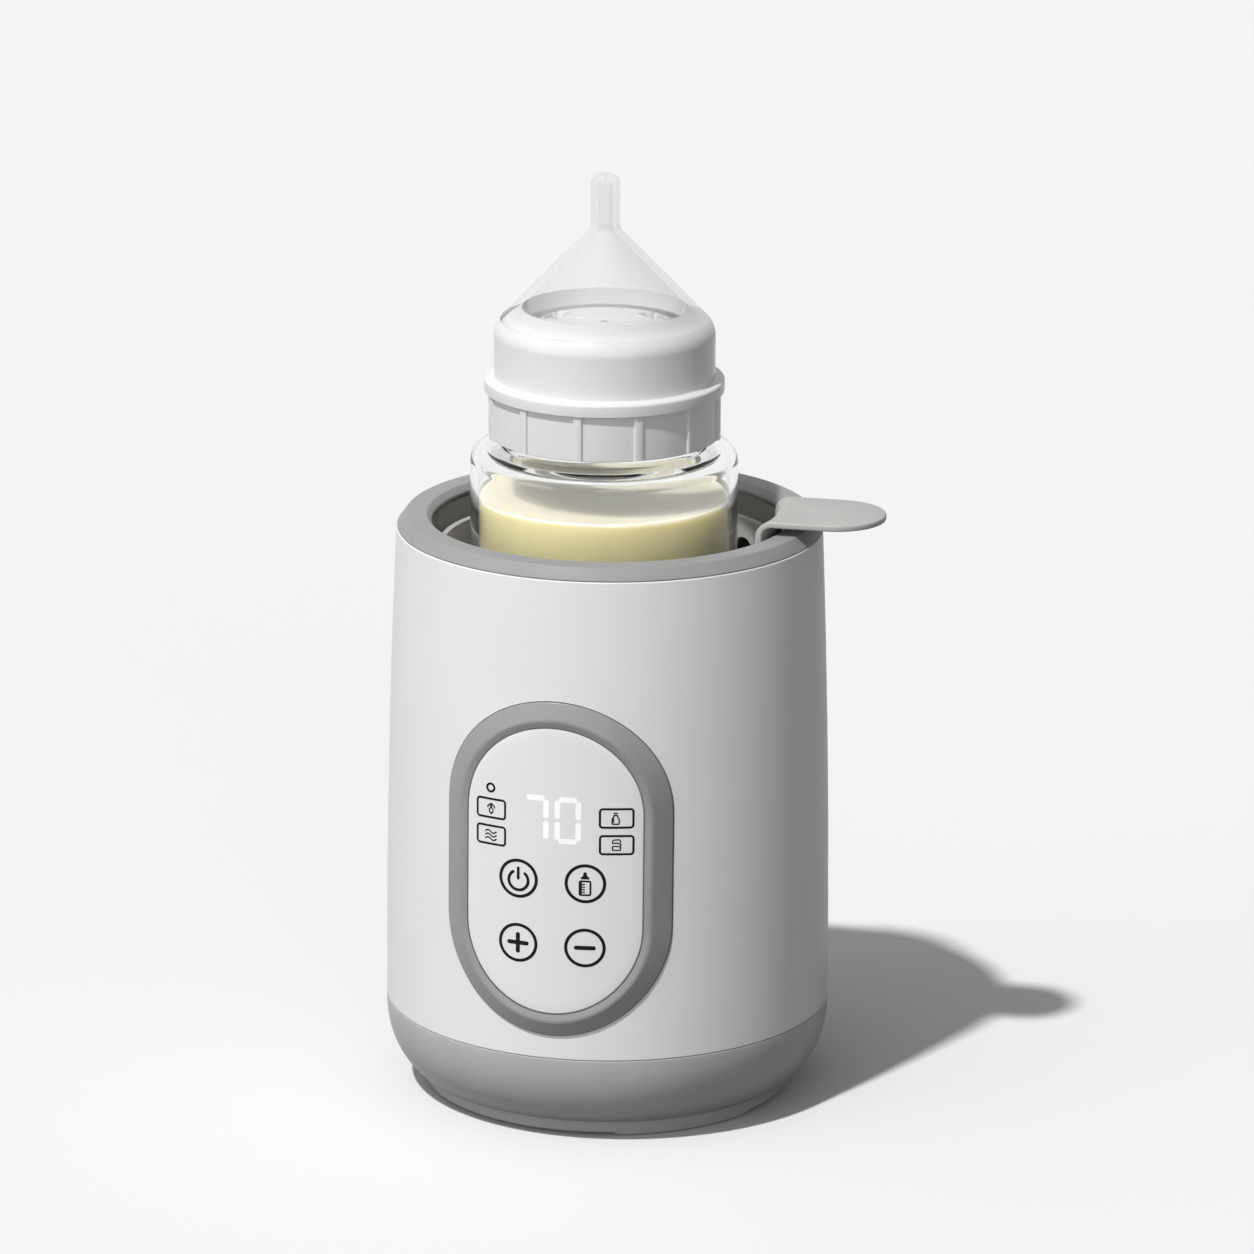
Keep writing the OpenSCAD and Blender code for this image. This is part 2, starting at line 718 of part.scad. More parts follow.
// Small lamps behind the panel's symbols
module indicator_lamps() {
    color("lightyellow") for (p = lamp_at) on_board(p[0], p[1], rest)
        linear_extrude(height = lamp_size[2]) square([lamp_size[0], lamp_size[1]], center = true);
}

// Coil springs that join the touch keys to the board
module touch_springs() {
    rise = sqrt(pow(side_r(panel_z) - shell_wall - fit - lens_back, 2) - pow(key_x + spring_r + 0.3, 2))
        - board_y - 1;
    n = 10 * spring_turns;
    coil = [for (i = [0:n]) [spring_r * cos(i * 36), spring_r * sin(i * 36), 0.4 + rise * i / n]];
    color("gold") for (x = [-key_x, key_x], y = key_z) on_board(x, y, rest) wire(coil, spring_wire_r, 6);
}

// Screws of the display board
module display_board_screws() {
    color("silver") for (x = [-1, 1], y = [-1, 1])
        on_board(x * board_screw_x, y * board_screw_z, -board_t - rest) screw(board_screw_r, 4, 1.7, 1.1);
}

// Flat cable from the power board to the display board, with its two connectors
module ribbon_cable() {
    foot_z = panel_z - board_reach + 6;
    path = [[-board_y + board_t + 3.6, foot_z], [-board_y + 13, foot_z - 1], [-board_y + 19, 27],
        [-24.5, 21.5], [-22.2, power_top_z + 4.2]];
    color("slategray") rotate([0, 0, panel_turn]) {
        translate([-5, 0, 0]) rotate([90, 0, 90]) linear_extrude(height = 10)
            polygon(concat(path, [for (i = [4:-1:0]) path[i] + [0.5, 0.6]]));
        translate([-6, -board_y + board_t + 0.1, foot_z - 2]) cube([12, 4, 5]);
        translate([-6, -24, power_top_z + 0.1]) cube([12, 4, 5]);
    }
}

// Power board
module power_board() {
    color("darkgreen") difference() {
        translate([0, 0, power_z]) linear_extrude(height = power_t) square(2 * power_half, center = true);
        at_power_screws(power_z - past) cylinder(r = power_screw_r + fit, h = power_t + 2 * past);
    }
}

// Screws of the power board
module power_board_screws() {
    color("silver") at_power_screws(power_top_z + rest) rotate([180, 0, 0])
        screw(power_screw_r, 6.5, 2.4, 1.6);
}

// Places its children on top of the power board
module on_power(x, y) {
    translate([x, y, power_top_z + seam]) children();
}

// Transformer of the low-voltage supply
module transformer() {
    color("khaki") on_power(-9, 3) union() {
        translate([-10, -4, 0]) cube([20, 8, 15]);
        translate([-6.5, -8.5, 1]) cube([13, 17, 12]);
    }
}

// Relay that switches the heater
module relay() {
    color("royalblue") on_power(13, 0) translate([-9.5, -7.8, 0]) cube([19, 15.6, 15.3]);
}

// Mains filter capacitor
module film_capacitor() {
    color("goldenrod") on_power(15, 14) translate([-6.5, -3, 0]) cube([13, 6, 12]);
}

// Smoothing capacitor of the supply
module smoothing_capacitor() {
    color("navy") on_power(-22, -14) cylinder(r = 5, h = 16);
}

// Mains fuse with its end caps
module mains_fuse() {
    color("silver") on_power(-27, 4) translate([0, 0, 2.8]) rotate([90, 0, 0]) {
        cylinder(r = 2.2, h = 20, center = true);
        for (s = [-1, 1]) translate([0, 0, s * 8]) cylinder(r = 2.6, h = 5, center = true);
    }
}

// Screw terminals of the mains wires
module mains_terminals() {
    color("green") on_power(terminal_at[0], terminal_at[1]) linear_extrude(height = terminal_size[2])
        square([terminal_size[0], terminal_size[1]], center = true);
}

// Terminals of the heater wires
module heater_terminals() {
    color("green") on_power(heater_terminal_at[0], heater_terminal_at[1])
        linear_extrude(height = terminal_size[2])
        square([heater_terminal_w, terminal_size[1]], center = true);
}

// Buzzer
module buzzer() {
    color("black") on_power(27.4, 8) difference() {
        cylinder(r = 4.5, h = 8);
        translate([0, 0, 5]) cylinder(r = 1, h = 4);
    }
}

// Two-pole power inlet in the back of the side shell
module power_inlet() {
    color("black") translate([0, inlet_seat_y, inlet_z]) rotate([-90, 0, 0]) difference() {
        union() {
            linear_extrude(height = inlet_plate_t) square(2 * inlet_half, center = true);
            translate([0, 0, -inlet_body_h]) linear_extrude(height = inlet_body_h + 0.5)
                square(2 * inlet_body_half, center = true);
        }
        translate([0, 0, inlet_plate_t + seam - socket_depth]) linear_extrude(height = through) {
            square([pin_pitch, socket_w], center = true);
            for (s = [-1, 1]) translate([s * pin_pitch / 2, 0]) circle(socket_w / 2);
        }
        for (s = [-1, 1]) translate([s * pin_pitch / 2, 0, -inlet_body_h - past])
            cylinder(r = pin_d / 2 + pin_shoulder + rest, h = inlet_body_h - socket_depth / 2);
        for (x = [-inlet_screw_x, inlet_screw_x]) translate([x, 0, -past])
            cylinder(r = inlet_screw_r + fit, h = inlet_plate_t + 2 * past);
    }
}

// Pins of the power inlet
module inlet_pins() {
    color("silver") for (s = [-1, 1]) translate([s * pin_pitch / 2, inlet_seat_y - pin_back, inlet_z])
        rotate([-90, 0, 0]) {
        cylinder(r = pin_d / 2 + pin_shoulder, h = pin_back + inlet_plate_t + seam - socket_depth);
        cylinder(r = pin_d / 2, h = pin_back - 0.5);
    }
}

// Screws of the power inlet
module inlet_screws() {
    color("silver") for (x = [-inlet_screw_x, inlet_screw_x]) translate([x,
        inlet_seat_y + inlet_plate_t + rest, inlet_z]) rotate([90, 0, 0]) screw(inlet_screw_r, 4.4, 2, 1.1);
}

// Wires from the power inlet to the mains terminals
module mains_wires() {
    end_z = power_top_z + terminal_size[2] + 0.5;
    color("brown") for (s = [-1, 1]) let (x = terminal_at[0] + s * terminal_size[0] / 4, y = terminal_at[1])
        wire(smooth([[s * pin_pitch / 2, inlet_seat_y - pin_back - 0.4, inlet_z],
        [s * pin_pitch / 2, inlet_seat_y - pin_back - 3, inlet_z - 0.4], [x + 2, y + 3, inlet_z - 5],
        [x, y, end_z + 1.5], [x, y, end_z]], 4), 1.1);
}

// Wires from the heater terminals to the element
module heater_wires() {
    start_z = element_z - 9.6;
    end_z = power_top_z + terminal_size[2] + 0.7;
    rise = start_z - end_z;
    y1 = heater_terminal_at[1];
    color("white") for (s = [-1, 1]) let (a = element_turn + s * 18, x = element_ring * cos(a),
        y = element_ring * sin(a), x1 = heater_terminal_at[0] + s * heater_terminal_w / 4)
        wire(smooth([[x, y, start_z], [x, y, start_z - rise / 4],
        [(x + x1) / 2, (y + y1) / 2, end_z + rise * 0.4], [x1, y1, end_z + rise / 5], [x1, y1, end_z]],
        4), 1);
}

// Basket with its water holes, feet, strap and paddle
module lift_basket() {
    color("silver") difference() {
        union() {
            basket_wall_and_strap();
            ring_of(3, 30) translate([basket_r - 10, 0, pot_floor_z + 0.3])
                cylinder(r = basket_foot_r, h = basket_feet);
            rotate([0, 0, paddle_turn]) paddle();
        }
        for (row = [0:hole_rows]) translate([0, 0, basket_top_z - hole_drop - row * hole_pitch])
            ring_of(hole_count, first_hole + (row % 2) * 180 / hole_count)
            translate([basket_in_r - past, 0, 0]) rotate([0, 90, 0])
            cylinder(r = hole_d / 2, h = basket_wall + 2 * past);
        translate([0, 0, basket_floor_z - past]) {
            cylinder(r = drain_r, h = basket_wall + 2 * past);
            ring_of(6) translate([basket_r / 2, 0, 0])
                cylinder(r = hole_d / 2, h = basket_wall + 2 * past);
        }
    }
}

// Turned basket whose wall goes on up and bends out over the rim, but only where the strap is
module basket_wall_and_strap() {
    centre = [strap_r, strap_top_z];
    difference() {
        rotate_extrude() polygon(concat([[0, basket_floor_z], [basket_r - 3, basket_floor_z],
            [basket_r, basket_floor_z + 3]], arc(centre, paddle_bend, paddle_bend, 180, 90, 8),
            [[strap_r + 1, paddle_under_z], [strap_r + 1, paddle_under_z + paddle_t]],
            arc(centre, paddle_bend + paddle_t, paddle_bend + paddle_t, 90, 180, 8),
            [[basket_r - paddle_t, basket_top_z], [basket_in_r, basket_top_z - 0.01],
            [basket_in_r, basket_floor_z + 3.6], [basket_in_r - 2, basket_floor_z + basket_wall],
            [0, basket_floor_z + basket_wall]]));
        translate([0, 0, basket_top_z]) difference() {
            cylinder(r = strap_r + 5, h = 40);
            rotate([0, 0, paddle_turn]) translate([0, -paddle_w / 2, -1]) cube([strap_r + 9, paddle_w, 50]);
        }
    }
}

// Flat paddle with a round end
module paddle() {
    end_r = paddle_w / 2;
    translate([0, 0, paddle_under_z]) linear_extrude(height = paddle_t) difference() {
        union() {
            translate([0, -end_r]) square([paddle_reach - end_r, paddle_w]);
            translate([paddle_reach - end_r, 0]) circle(end_r);
        }
        circle(strap_r);
    }
}

// Places children on the bottle's axis
module at_bottle() {
    translate([bottle_shift, 0, 0]) children();
}

// Glass bottle with its neck and thread
module bottle_glass() {
    in_z = bottle_z + glass_floor;
    out_round = min(shoulder_r, bottle_r - neck_r - 1.4);
    in_round = max(out_round - glass_wall, 0.5);
    color("lightcyan", 0.4) union() {
        rotate_extrude() polygon(concat([[0, bottle_z + 1], [bottle_r * 0.6, bottle_z + 0.6]],
            arc([bottle_r - heel_r, bottle_z + heel_r], heel_r, heel_r, -90, 0, 6),
            arc([bottle_r - out_round, shoulder_z - out_round], out_round, out_round, 0, 90, 8),
            [[neck_r + 1.2, shoulder_z], [neck_r, shoulder_z + 1.2], [neck_r, neck_top_z],
            [neck_r - glass_neck_t, neck_top_z], [neck_r - glass_neck_t, shoulder_z],
            [neck_r - glass_neck_t / 2, shoulder_z - glass_wall]],
            arc([cavity_r - in_round, shoulder_z - glass_wall - in_round], in_round, in_round, 90, 0, 6),
            arc([cavity_r - corner_r, in_z + corner_r], corner_r, corner_r, 0, -90, 5), [[0, in_z]]));
        thread(neck_r - 0.4, neck_r + 1.1, 1, thread_start_z + thread_w + fit, 0);
    }
}

// Milk in the bottle
module milk() {
    low_z = bottle_z + glass_floor + milk_play;
    color("khaki") rotate_extrude() polygon(concat([[0, low_z]],
        arc([cavity_r - milk_play - corner_r, low_z + corner_r], corner_r, corner_r, -90, 0, 5),
        [[cavity_r - milk_play, bottle_z + milk_h], [0, bottle_z + milk_h]]));
}

// Vent disc on the bottle's mouth
module vent_disc() {
    color("white") difference() {
        rotate_extrude() polygon([[0, disc_z - 2], [neck_r - 3.4, disc_z - 2], [neck_r - 2.8, disc_z],
            [flange_out_r, disc_z], [flange_out_r, disc_z + disc_t], [opening_r - 2.4, disc_z + disc_t],
            [opening_r - 4, disc_z + 3.2], [4, disc_z + 3.6], [0, disc_z + 3.6]]);
        for (a = [-148, -32]) rotate([0, 0, a]) translate([12, -4, disc_z - 5]) cube([5, 8, 12]);
        translate([0, 0, disc_z - 5]) cylinder(r = 1, h = 12);
        translate([0, 0, disc_z - 3]) cylinder(r = 9, h = 4.6);
    }
}

// Soft teat, with its sealing flange, the groove for the collar's lip, its cone and its tip
module teat() {
    wall_z = teat_wall * sqrt(1 + cone_slope * cone_slope);
    groove_r = opening_r - 0.25;
    in_r = groove_r - 1.3;
    in_top_z = tip_z - 0.4 * wall_z;
    color("whitesmoke", 0.5) rotate_extrude() polygon(concat([[in_r, flange_low_z],
        [flange_out_r - 0.4, flange_low_z], [flange_out_r - 0.4, lip_z - seam], [groove_r, lip_z - seam],
        [groove_r, seat_z(groove_r) + 0.15], [cone_r - 0.15, seat_z(cone_r - 0.15) + 0.15],
        [cone_r - 0.15, tier_top_z + 0.15 * cone_slope]], [[tip_r + 0.3, tip_z - 0.3], [tip_r, tip_z + 1]],
        arc([tip_r - 2.4, teat_top_z - 2.4], 2.4, 2.4, 0, 90, 6),
        [[0.35, teat_top_z], [0.35, teat_top_z - 2], [tip_bore_d / 2, teat_top_z - 2.2],
        [tip_bore_d / 2, in_top_z + 1.2], [in_r, tip_z - wall_z - (in_r - tip_r) * cone_slope]]));
}

// Screw collar with ribs, a ledge, an upper tier and its inner thread
module collar() {
    skirt_in_r = neck_r + 2;
    tier_in_r = neck_r + 0.9;
    panel_r = rib_d / 2 - rib_depth;
    color("white") union() {
        rotate_extrude() polygon(concat([[skirt_in_r, collar_z], [panel_r, collar_z], [panel_r, ledge_z],
            [collar_d / 2, ledge_z], [collar_d / 2, tier_z - 0.8], [collar_d / 2 - 0.8, tier_z],
            [tier_r, tier_z]],
            arc([tier_r - tier_round, tier_top_z - tier_round * sin(cone_angle)], tier_round, tier_round,
            0, cone_angle, 8), [[cone_r, seat_z(cone_r)],
            [opening_r, seat_z(opening_r)], [opening_r, lip_z], [tier_in_r, lip_z],
            [tier_in_r, tier_z - 1.4], [skirt_in_r, tier_z - 2.6]]));
        intersection() {
            ring_of(rib_count, first_rib) translate([-rib_w / 2, -rib_d / 2 - past, collar_z])
                cube([rib_w, 3, rib_h + past]);
            rotate_extrude() translate([panel_r - 0.4, collar_z]) square([rib_depth + 0.4, rib_h + 0.4]);
        }
        thread(skirt_in_r + 0.3, neck_r + 0.5, 0.75, thread_start_z, 0);
    }
}

outer_shell();
top_ring();
bottom_shell();
base_plate();
anti_slip_ring();
shell_screws();
base_plate_screws();
heating_pot();
pot_seal();
pot_screws();
heater_plate();
heater_element();
heater_nuts();
thermal_cutout();
cutout_screws();
thermal_fuse();
temperature_probe();
panel_bezel();
panel_lens();
display_board();
display_module();
indicator_lamps();
touch_springs();
display_board_screws();
ribbon_cable();
power_board();
power_board_screws();
transformer();
relay();
film_capacitor();
smoothing_capacitor();
mains_fuse();
mains_terminals();
heater_terminals();
buzzer();
power_inlet();
inlet_pins();
inlet_screws();
mains_wires();
heater_wires();
lift_basket();
at_bottle() bottle_glass();
at_bottle() milk();
at_bottle() vent_disc();
at_bottle() teat();
at_bottle() collar();
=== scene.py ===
"""Looks of a bottle warmer with a feeding bottle in it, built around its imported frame.

Lengths are in millimetres unless a name ends in _m, and meshes are scaled to metres when they are
made. The body's axis is Z, the table is at Z = 0 and the touch panel faces -Y.
"""

import logging
import math
from collections.abc import Callable, Iterable, Sequence
from dataclasses import dataclass, field
from enum import Enum
from functools import cache

import bmesh
import bpy
from mathutils import Matrix, Vector


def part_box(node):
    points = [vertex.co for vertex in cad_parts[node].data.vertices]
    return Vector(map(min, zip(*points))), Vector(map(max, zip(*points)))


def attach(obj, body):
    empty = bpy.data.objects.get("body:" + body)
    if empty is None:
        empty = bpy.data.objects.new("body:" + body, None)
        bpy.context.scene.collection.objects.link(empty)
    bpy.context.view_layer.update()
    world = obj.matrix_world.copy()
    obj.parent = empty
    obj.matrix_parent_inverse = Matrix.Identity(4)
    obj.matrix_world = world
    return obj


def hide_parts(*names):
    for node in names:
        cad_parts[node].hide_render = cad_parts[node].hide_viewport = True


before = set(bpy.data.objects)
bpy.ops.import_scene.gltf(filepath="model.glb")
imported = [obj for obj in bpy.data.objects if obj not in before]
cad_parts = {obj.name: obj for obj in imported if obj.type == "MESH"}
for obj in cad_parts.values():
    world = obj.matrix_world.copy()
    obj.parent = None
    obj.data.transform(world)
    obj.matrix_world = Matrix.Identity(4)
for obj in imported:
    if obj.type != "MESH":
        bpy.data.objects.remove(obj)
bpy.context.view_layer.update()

LOG = logging.getLogger("bottle_warmer")
MM = 0.001

Piece = bpy.types.Object
Point = tuple[float, float]
Place = tuple[float, float, float]
Outline = list[Point]
Colour = tuple[float, float, float]
Warp = Callable[[float, float, float], Point]
Strokes = list[tuple[Outline, float]]
Bars = list[tuple[Point, Point]]
Patch = tuple[list[Vector], list[list[int]]]
Value = "float | int | tuple | Signal"
Sockets = dict[str, Value]


# ---- Shader expressions


class Signal:
    """An output socket whose operators add Math nodes to its tree."""

    def __init__(self, tree: "NodeTree", socket: bpy.types.NodeSocket) -> None:
        """Keeps the tree and the socket that it wraps."""
        self.tree = tree
        self.socket = socket

    def math(self, operation: str, *values: Value) -> "Signal":
        """Adds one Math node, with its inputs in order, and gives its output."""
        return self.tree.add("Math", {"operation": operation}, dict(enumerate(values)))

    def __add__(self, other: Value) -> "Signal":
        """self + other."""
        return self.math("ADD", self, other)

    def __radd__(self, other: Value) -> "Signal":
        """other + self."""
        return self.math("ADD", other, self)

    def __sub__(self, other: Value) -> "Signal":
        """self - other."""
        return self.math("SUBTRACT", self, other)

    def __rsub__(self, other: Value) -> "Signal":
        """other - self."""
        return self.math("SUBTRACT", other, self)

    def __mul__(self, other: Value) -> "Signal":
        """self * other."""
        return self.math("MULTIPLY", self, other)

    def __rmul__(self, other: Value) -> "Signal":
        """other * self."""
        return self.math("MULTIPLY", other, self)

    def step(self, low: float, high: float) -> "Signal":
        """0 below low, 1 above high and smooth between them."""
        settings = {"interpolation_type": "SMOOTHSTEP"}
        return self.tree.add("MapRange", settings, {0: self, 1: low, 2: high})


class NodeTree:
    """The node tree of one material or of the world."""

    def __init__(self, owner: bpy.types.ID, output: str) -> None:
        """Clears the owner's tree and adds its output node.

        Args:
            owner: the material or the world.
            output: the output node's type.
        """
        owner.use_nodes = True
        self.owner = owner
        self.nodes = owner.node_tree.nodes
        self.links = owner.node_tree.links
        self.nodes.clear()
        self.output = self.nodes.new(output)

    def add(self, kind: str, settings: dict | None = None, values: dict | None = None,
            out: int | str = 0) -> Signal:
        """Adds any node.

        Args:
            kind: the node's type, without its ShaderNode prefix.
            settings: its attributes, such as an operation, which are set first.
            values: values or links of its sockets, by name or index.
            out: the output to return.

        Returns:
            The chosen output.
        """
        node = self.nodes.new("ShaderNode" + kind)
        for key, value in (settings or {}).items():
            setattr(node, key, value)
        for key, value in (values or {}).items():
            self.feed(node.inputs[key], value)
        return Signal(self, node.outputs[out])

    def feed(self, socket: bpy.types.NodeSocket, value: Value) -> None:
        """Links a signal to a socket, or sets the socket's value.

        Args:
            socket: the input socket.
            value: the signal or the value.
        """
        if isinstance(value, Signal):
            self.links.new(value.socket, socket)
        elif isinstance(value, tuple) and socket.type == "RGBA":
            socket.default_value = (*value[:3], 1.0)
        else:
            socket.default_value = value

    def place(self) -> Signal:
        """Position on the piece, in metres, which moves with the piece."""
        return self.add("TexCoord", out="Object")

    def height(self) -> Signal:
        """Height on the piece, in metres."""
        return self.add("SeparateXYZ", None, {0: self.place()}, "Z")

    def noise(self, size_mm: float, detail: float = 2.0, rough: float = 0.5) -> Signal:
        """Noise whose blotches are about size_mm across."""
        return self.add("TexNoise", None, {"Vector": self.place(), "Scale": 1 / (size_mm * MM),
                                           "Detail": detail, "Roughness": rough})

    def mix(self, factor: Value, first: Value, second: Value) -> Signal:
        """Mixes two colours."""
        return self.add("Mix", {"data_type": "RGBA"}, {0: factor, 6: first, 7: second}, 2)

    def bump(self, height: Signal, depth_mm: float, strength: float = 1.0) -> Signal:
        """Normal of a surface with that relief."""
        return self.add("Bump", None, {"Height": height, "Distance": depth_mm * MM,
                                       "Strength": strength})

    def show(self, shader: Signal) -> None:
        """Joins a shader to the output."""
        self.feed(self.output.inputs["Surface"], shader)


def new_material(name: str) -> NodeTree:
    """Makes a material and gives its tree."""
    return NodeTree(bpy.data.materials.new(name), "ShaderNodeOutputMaterial")


def shade(colour: Colour, factor: float) -> Colour:
    """The colour made lighter or darker."""
    return tuple(min(1.0, c * factor) for c in colour)


# ---- Finishes


@dataclass(frozen=True)
class Finish:
    """A named finish. Each kind of finish says what feeds its shader."""

    name: str
    colour: Colour

    @cache
    def build(self) -> bpy.types.Material:
        """Makes the material, once for each finish.

        Returns:
            The material, with its shader joined to its output.
        """
        tree = new_material(self.name)
        tree.show(tree.add("BsdfPrincipled", None, self.sockets(tree)))
        return tree.owner

    def sockets(self, tree: NodeTree) -> Sockets:
        """What feeds the shader.

        Args:
            tree: the material's tree.

        Returns:
            Values and links of the shader's sockets, by name.
        """
        return {"Base Color": self.colour}

    def tint(self, tree: NodeTree, factor: Value, low: float, high: float = 1.0) -> Signal:
        """The colour, from low to high times as light."""
        return tree.mix(factor, shade(self.colour, low), shade(self.colour, high))


@dataclass(frozen=True)
class Plastic(Finish):
    """Moulded plastic with a fine grain, slight blotches and handling marks, and painted shade
    over a crown.
    """

    roughness: float = 0.35
    depth_mm: float = 0.004
    mottle: float = 0.02
    ior: float = 1.46
    gloss: float = 0.5
    crown_z: float = 0.0
    crown_h: float = 5.0
    crown_painted_shade: float = 1.0

    def sockets(self, tree: NodeTree) -> Sockets:
        """Blotched colour, darkened towards the crown of a piece that has one as painted shade."""
        blotch = tree.noise(22, 3).step(0.3, 0.7)
        colour = self.tint(tree, blotch, 1 - self.mottle, 1 + self.mottle / 2)
        # Painted shade: the colour darkens over the top of the crown, so that a sunlit top looks
        # no brighter than its sides.
        if self.crown_z:
            crown = tree.height().step((self.crown_z - self.crown_h) * MM, self.crown_z * MM)
            colour = tree.mix(crown, colour, shade(self.colour, self.crown_painted_shade))
        return {"Base Color": colour, "IOR": self.ior, "Specular IOR Level": self.gloss,
                "Roughness": self.roughness * (0.9 + 0.22 * tree.noise(3.5, 5, 0.62)),
                "Normal": tree.bump(tree.noise(0.6), self.depth_mm, 0.6)}


@dataclass(frozen=True)
class Lacquer(Finish):
    """Satin silver-grey lacquer with fine flakes."""

    roughness: float = 0.38
    flake_mm: float = 0.12
    gloss: float = 0.15

    def sockets(self, tree: NodeTree) -> Sockets:
        """Clouded colour with paler flakes, and an uneven gloss."""
        values = {"Vector": tree.place(), "Scale": 1 / (self.flake_mm * MM)}
        flake = tree.add("TexVoronoi", None, values, "Distance").step(0.25, 0.05) * 0.16
        base = self.tint(tree, tree.noise(16, 3).step(0.3, 0.7), 0.97, 1.03)
        return {"Base Color": tree.mix(flake, base, shade(self.colour, 1.5)), "IOR": 1.45,
                "Specular IOR Level": self.gloss,
                "Roughness": self.roughness * (0.88 + 0.24 * tree.noise(2.5, 4)),
                "Normal": tree.bump(tree.noise(0.35), 0.003, 0.6)}


@dataclass(frozen=True)
class Rubber(Finish):
    """Matte soft rubber with a dusty bloom."""

    def sockets(self, tree: NodeTree) -> Sockets:
        """Paler and rougher under the bloom."""
        bloom = tree.noise(4, 5, 0.65)
        return {"Base Color": self.tint(tree, bloom.step(0.4, 0.75), 1.0, 1.35), "IOR": 1.5,
                "Roughness": 0.72 + 0.2 * bloom,
                "Normal": tree.bump(tree.noise(0.5, 3), 0.02, 0.7)}


@dataclass(frozen=True)
class Metal(Finish):
    """Plain or plated metal with a fine grain; a coating over metal has metallic 0."""

    roughness: float = 0.3
    metallic: float = 1.0
    depth_mm: float = 0.006

    def sockets(self, tree: NodeTree) -> Sockets:
        """Stains in the colour and the gloss."""
        stain = tree.noise(5, 4, 0.6)
        return {"Base Color": self.tint(tree, stain.step(0.35, 0.75), 0.86), "IOR": 1.5,
                "Metallic": self.metallic, "Roughness": self.roughness * (0.8 + 0.4 * stain),
                "Normal": tree.bump(tree.noise(0.4, 3, 0.6), self.depth_mm, 0.7)}


@dataclass(frozen=True)
class Glass(Finish):
    """Clear thick glass with faint ripples."""

    def sockets(self, tree: NodeTree) -> Sockets:
        """Clear all over, with a few smears in the gloss."""
        smear = tree.noise(9, 4, 0.6).step(0.55, 0.9)
        return {"Base Color": self.colour, "Transmission Weight": 1.0, "IOR": 1.35,
                "Roughness": 0.004 + 0.012 * smear,
                "Normal": tree.bump(tree.noise(14), 0.05, 0.25)}


@dataclass(frozen=True)
class Silicone(Finish):
    """Clear soft silicone, slightly milky, that shows what is behind it."""

    alpha: float
    roughness: float = 0.22

    def sockets(self, tree: NodeTree) -> Sockets:
        """Clouds in the colour, the gloss and the cover."""
        cloud = tree.noise(7, 3)
        return {"Base Color": self.tint(tree, cloud, 0.98), "IOR": 1.41,
                "Specular IOR Level": 0.3, "Roughness": self.roughness + 0.08 * cloud,
                "Alpha": self.alpha + 0.04 * cloud,
                "Normal": tree.bump(tree.noise(1.6), 0.01, 0.4)}


@dataclass(frozen=True)
class Milk(Finish):
    """Opaque warm milk, which lets a little light in, with painted light on its top."""

    painted_light_top_colour: Colour
    top_z: float

    def sockets(self, tree: NodeTree) -> Sockets:
        """Swirls on the side, and a paler colour over the last millimetre, painted light against
        the collar's shadow.
        """
        swirl = tree.noise(18, 3)
        # Painted light: the top is paler, so that the collar's shadow on it looks lighter.
        top = tree.height().step(self.top_z * MM - 0.0012, self.top_z * MM - 0.0005)
        return {"Base Color": tree.mix(top, self.tint(tree, swirl, 0.97), self.painted_light_top_colour),
                "Roughness": 0.12 + 0.06 * swirl, "IOR": 1.35, "Subsurface Weight": 0.8,
                "Subsurface Radius": (1.0, 0.85, 0.6), "Subsurface Scale": 0.012}


@dataclass(frozen=True)
class Ink(Finish):
    """Screen-printed ink with slightly uneven cover."""

    def sockets(self, tree: NodeTree) -> Sockets:
        """Paler and rougher where the ink is thin."""
        cover = tree.noise(0.6, 4, 0.6)
        return {"Base Color": self.tint(tree, cover, 1.0, 1.8), "IOR": 1.45,
                "Specular IOR Level": 0.15, "Roughness": 0.4 + 0.15 * cover}


@dataclass(frozen=True)
class Glow(Finish):
    """Lit window of the display, with slightly uneven light."""

    strength: float

    def sockets(self, tree: NodeTree) -> Sockets:
        """Patches in the light and the gloss."""
        patch = tree.noise(1.5)
        return {"Base Color": self.colour, "Roughness": 0.4 + 0.1 * patch,
                "Emission Color": self.tint(tree, patch, 0.96), "Emission Strength": self.strength}


@dataclass(frozen=True)
class Board(Finish):
    """Circuit board with tracks under its solder mask."""

    def sockets(self, tree: NodeTree) -> Sockets:
        """Paler, raised tracks."""
        values = {"Vector": tree.place(), "Scale": 420.0, "Mortar Size": 0.06}
        tracks = tree.add("TexBrick", {"offset": 0.5}, values, "Fac")
        return {"Base Color": self.tint(tree, tracks * 0.6, 1.0, 2.2),
                "Roughness": 0.42 + 0.1 * tree.noise(3), "Normal": tree.bump(tracks, 0.03, 0.5)}


@dataclass(frozen=True)
class Wrap(Finish):
    """Tape or braid in fine parallel bands."""

    band_mm: float = 1.2

    def sockets(self, tree: NodeTree) -> Sockets:
        """Darker, lower gaps between the bands."""
        values = {"Vector": tree.place(), "Scale": 0.32 / (self.band_mm * MM), "Distortion": 0.4}
        bands = tree.add("TexWave", {"bands_direction": "Z"}, values, "Fac")
        return {"Base Color": self.tint(tree, bands, 0.82),
                "Roughness": 0.5 + 0.2 * tree.noise(2), "Normal": tree.bump(bands, 0.06, 0.5)}


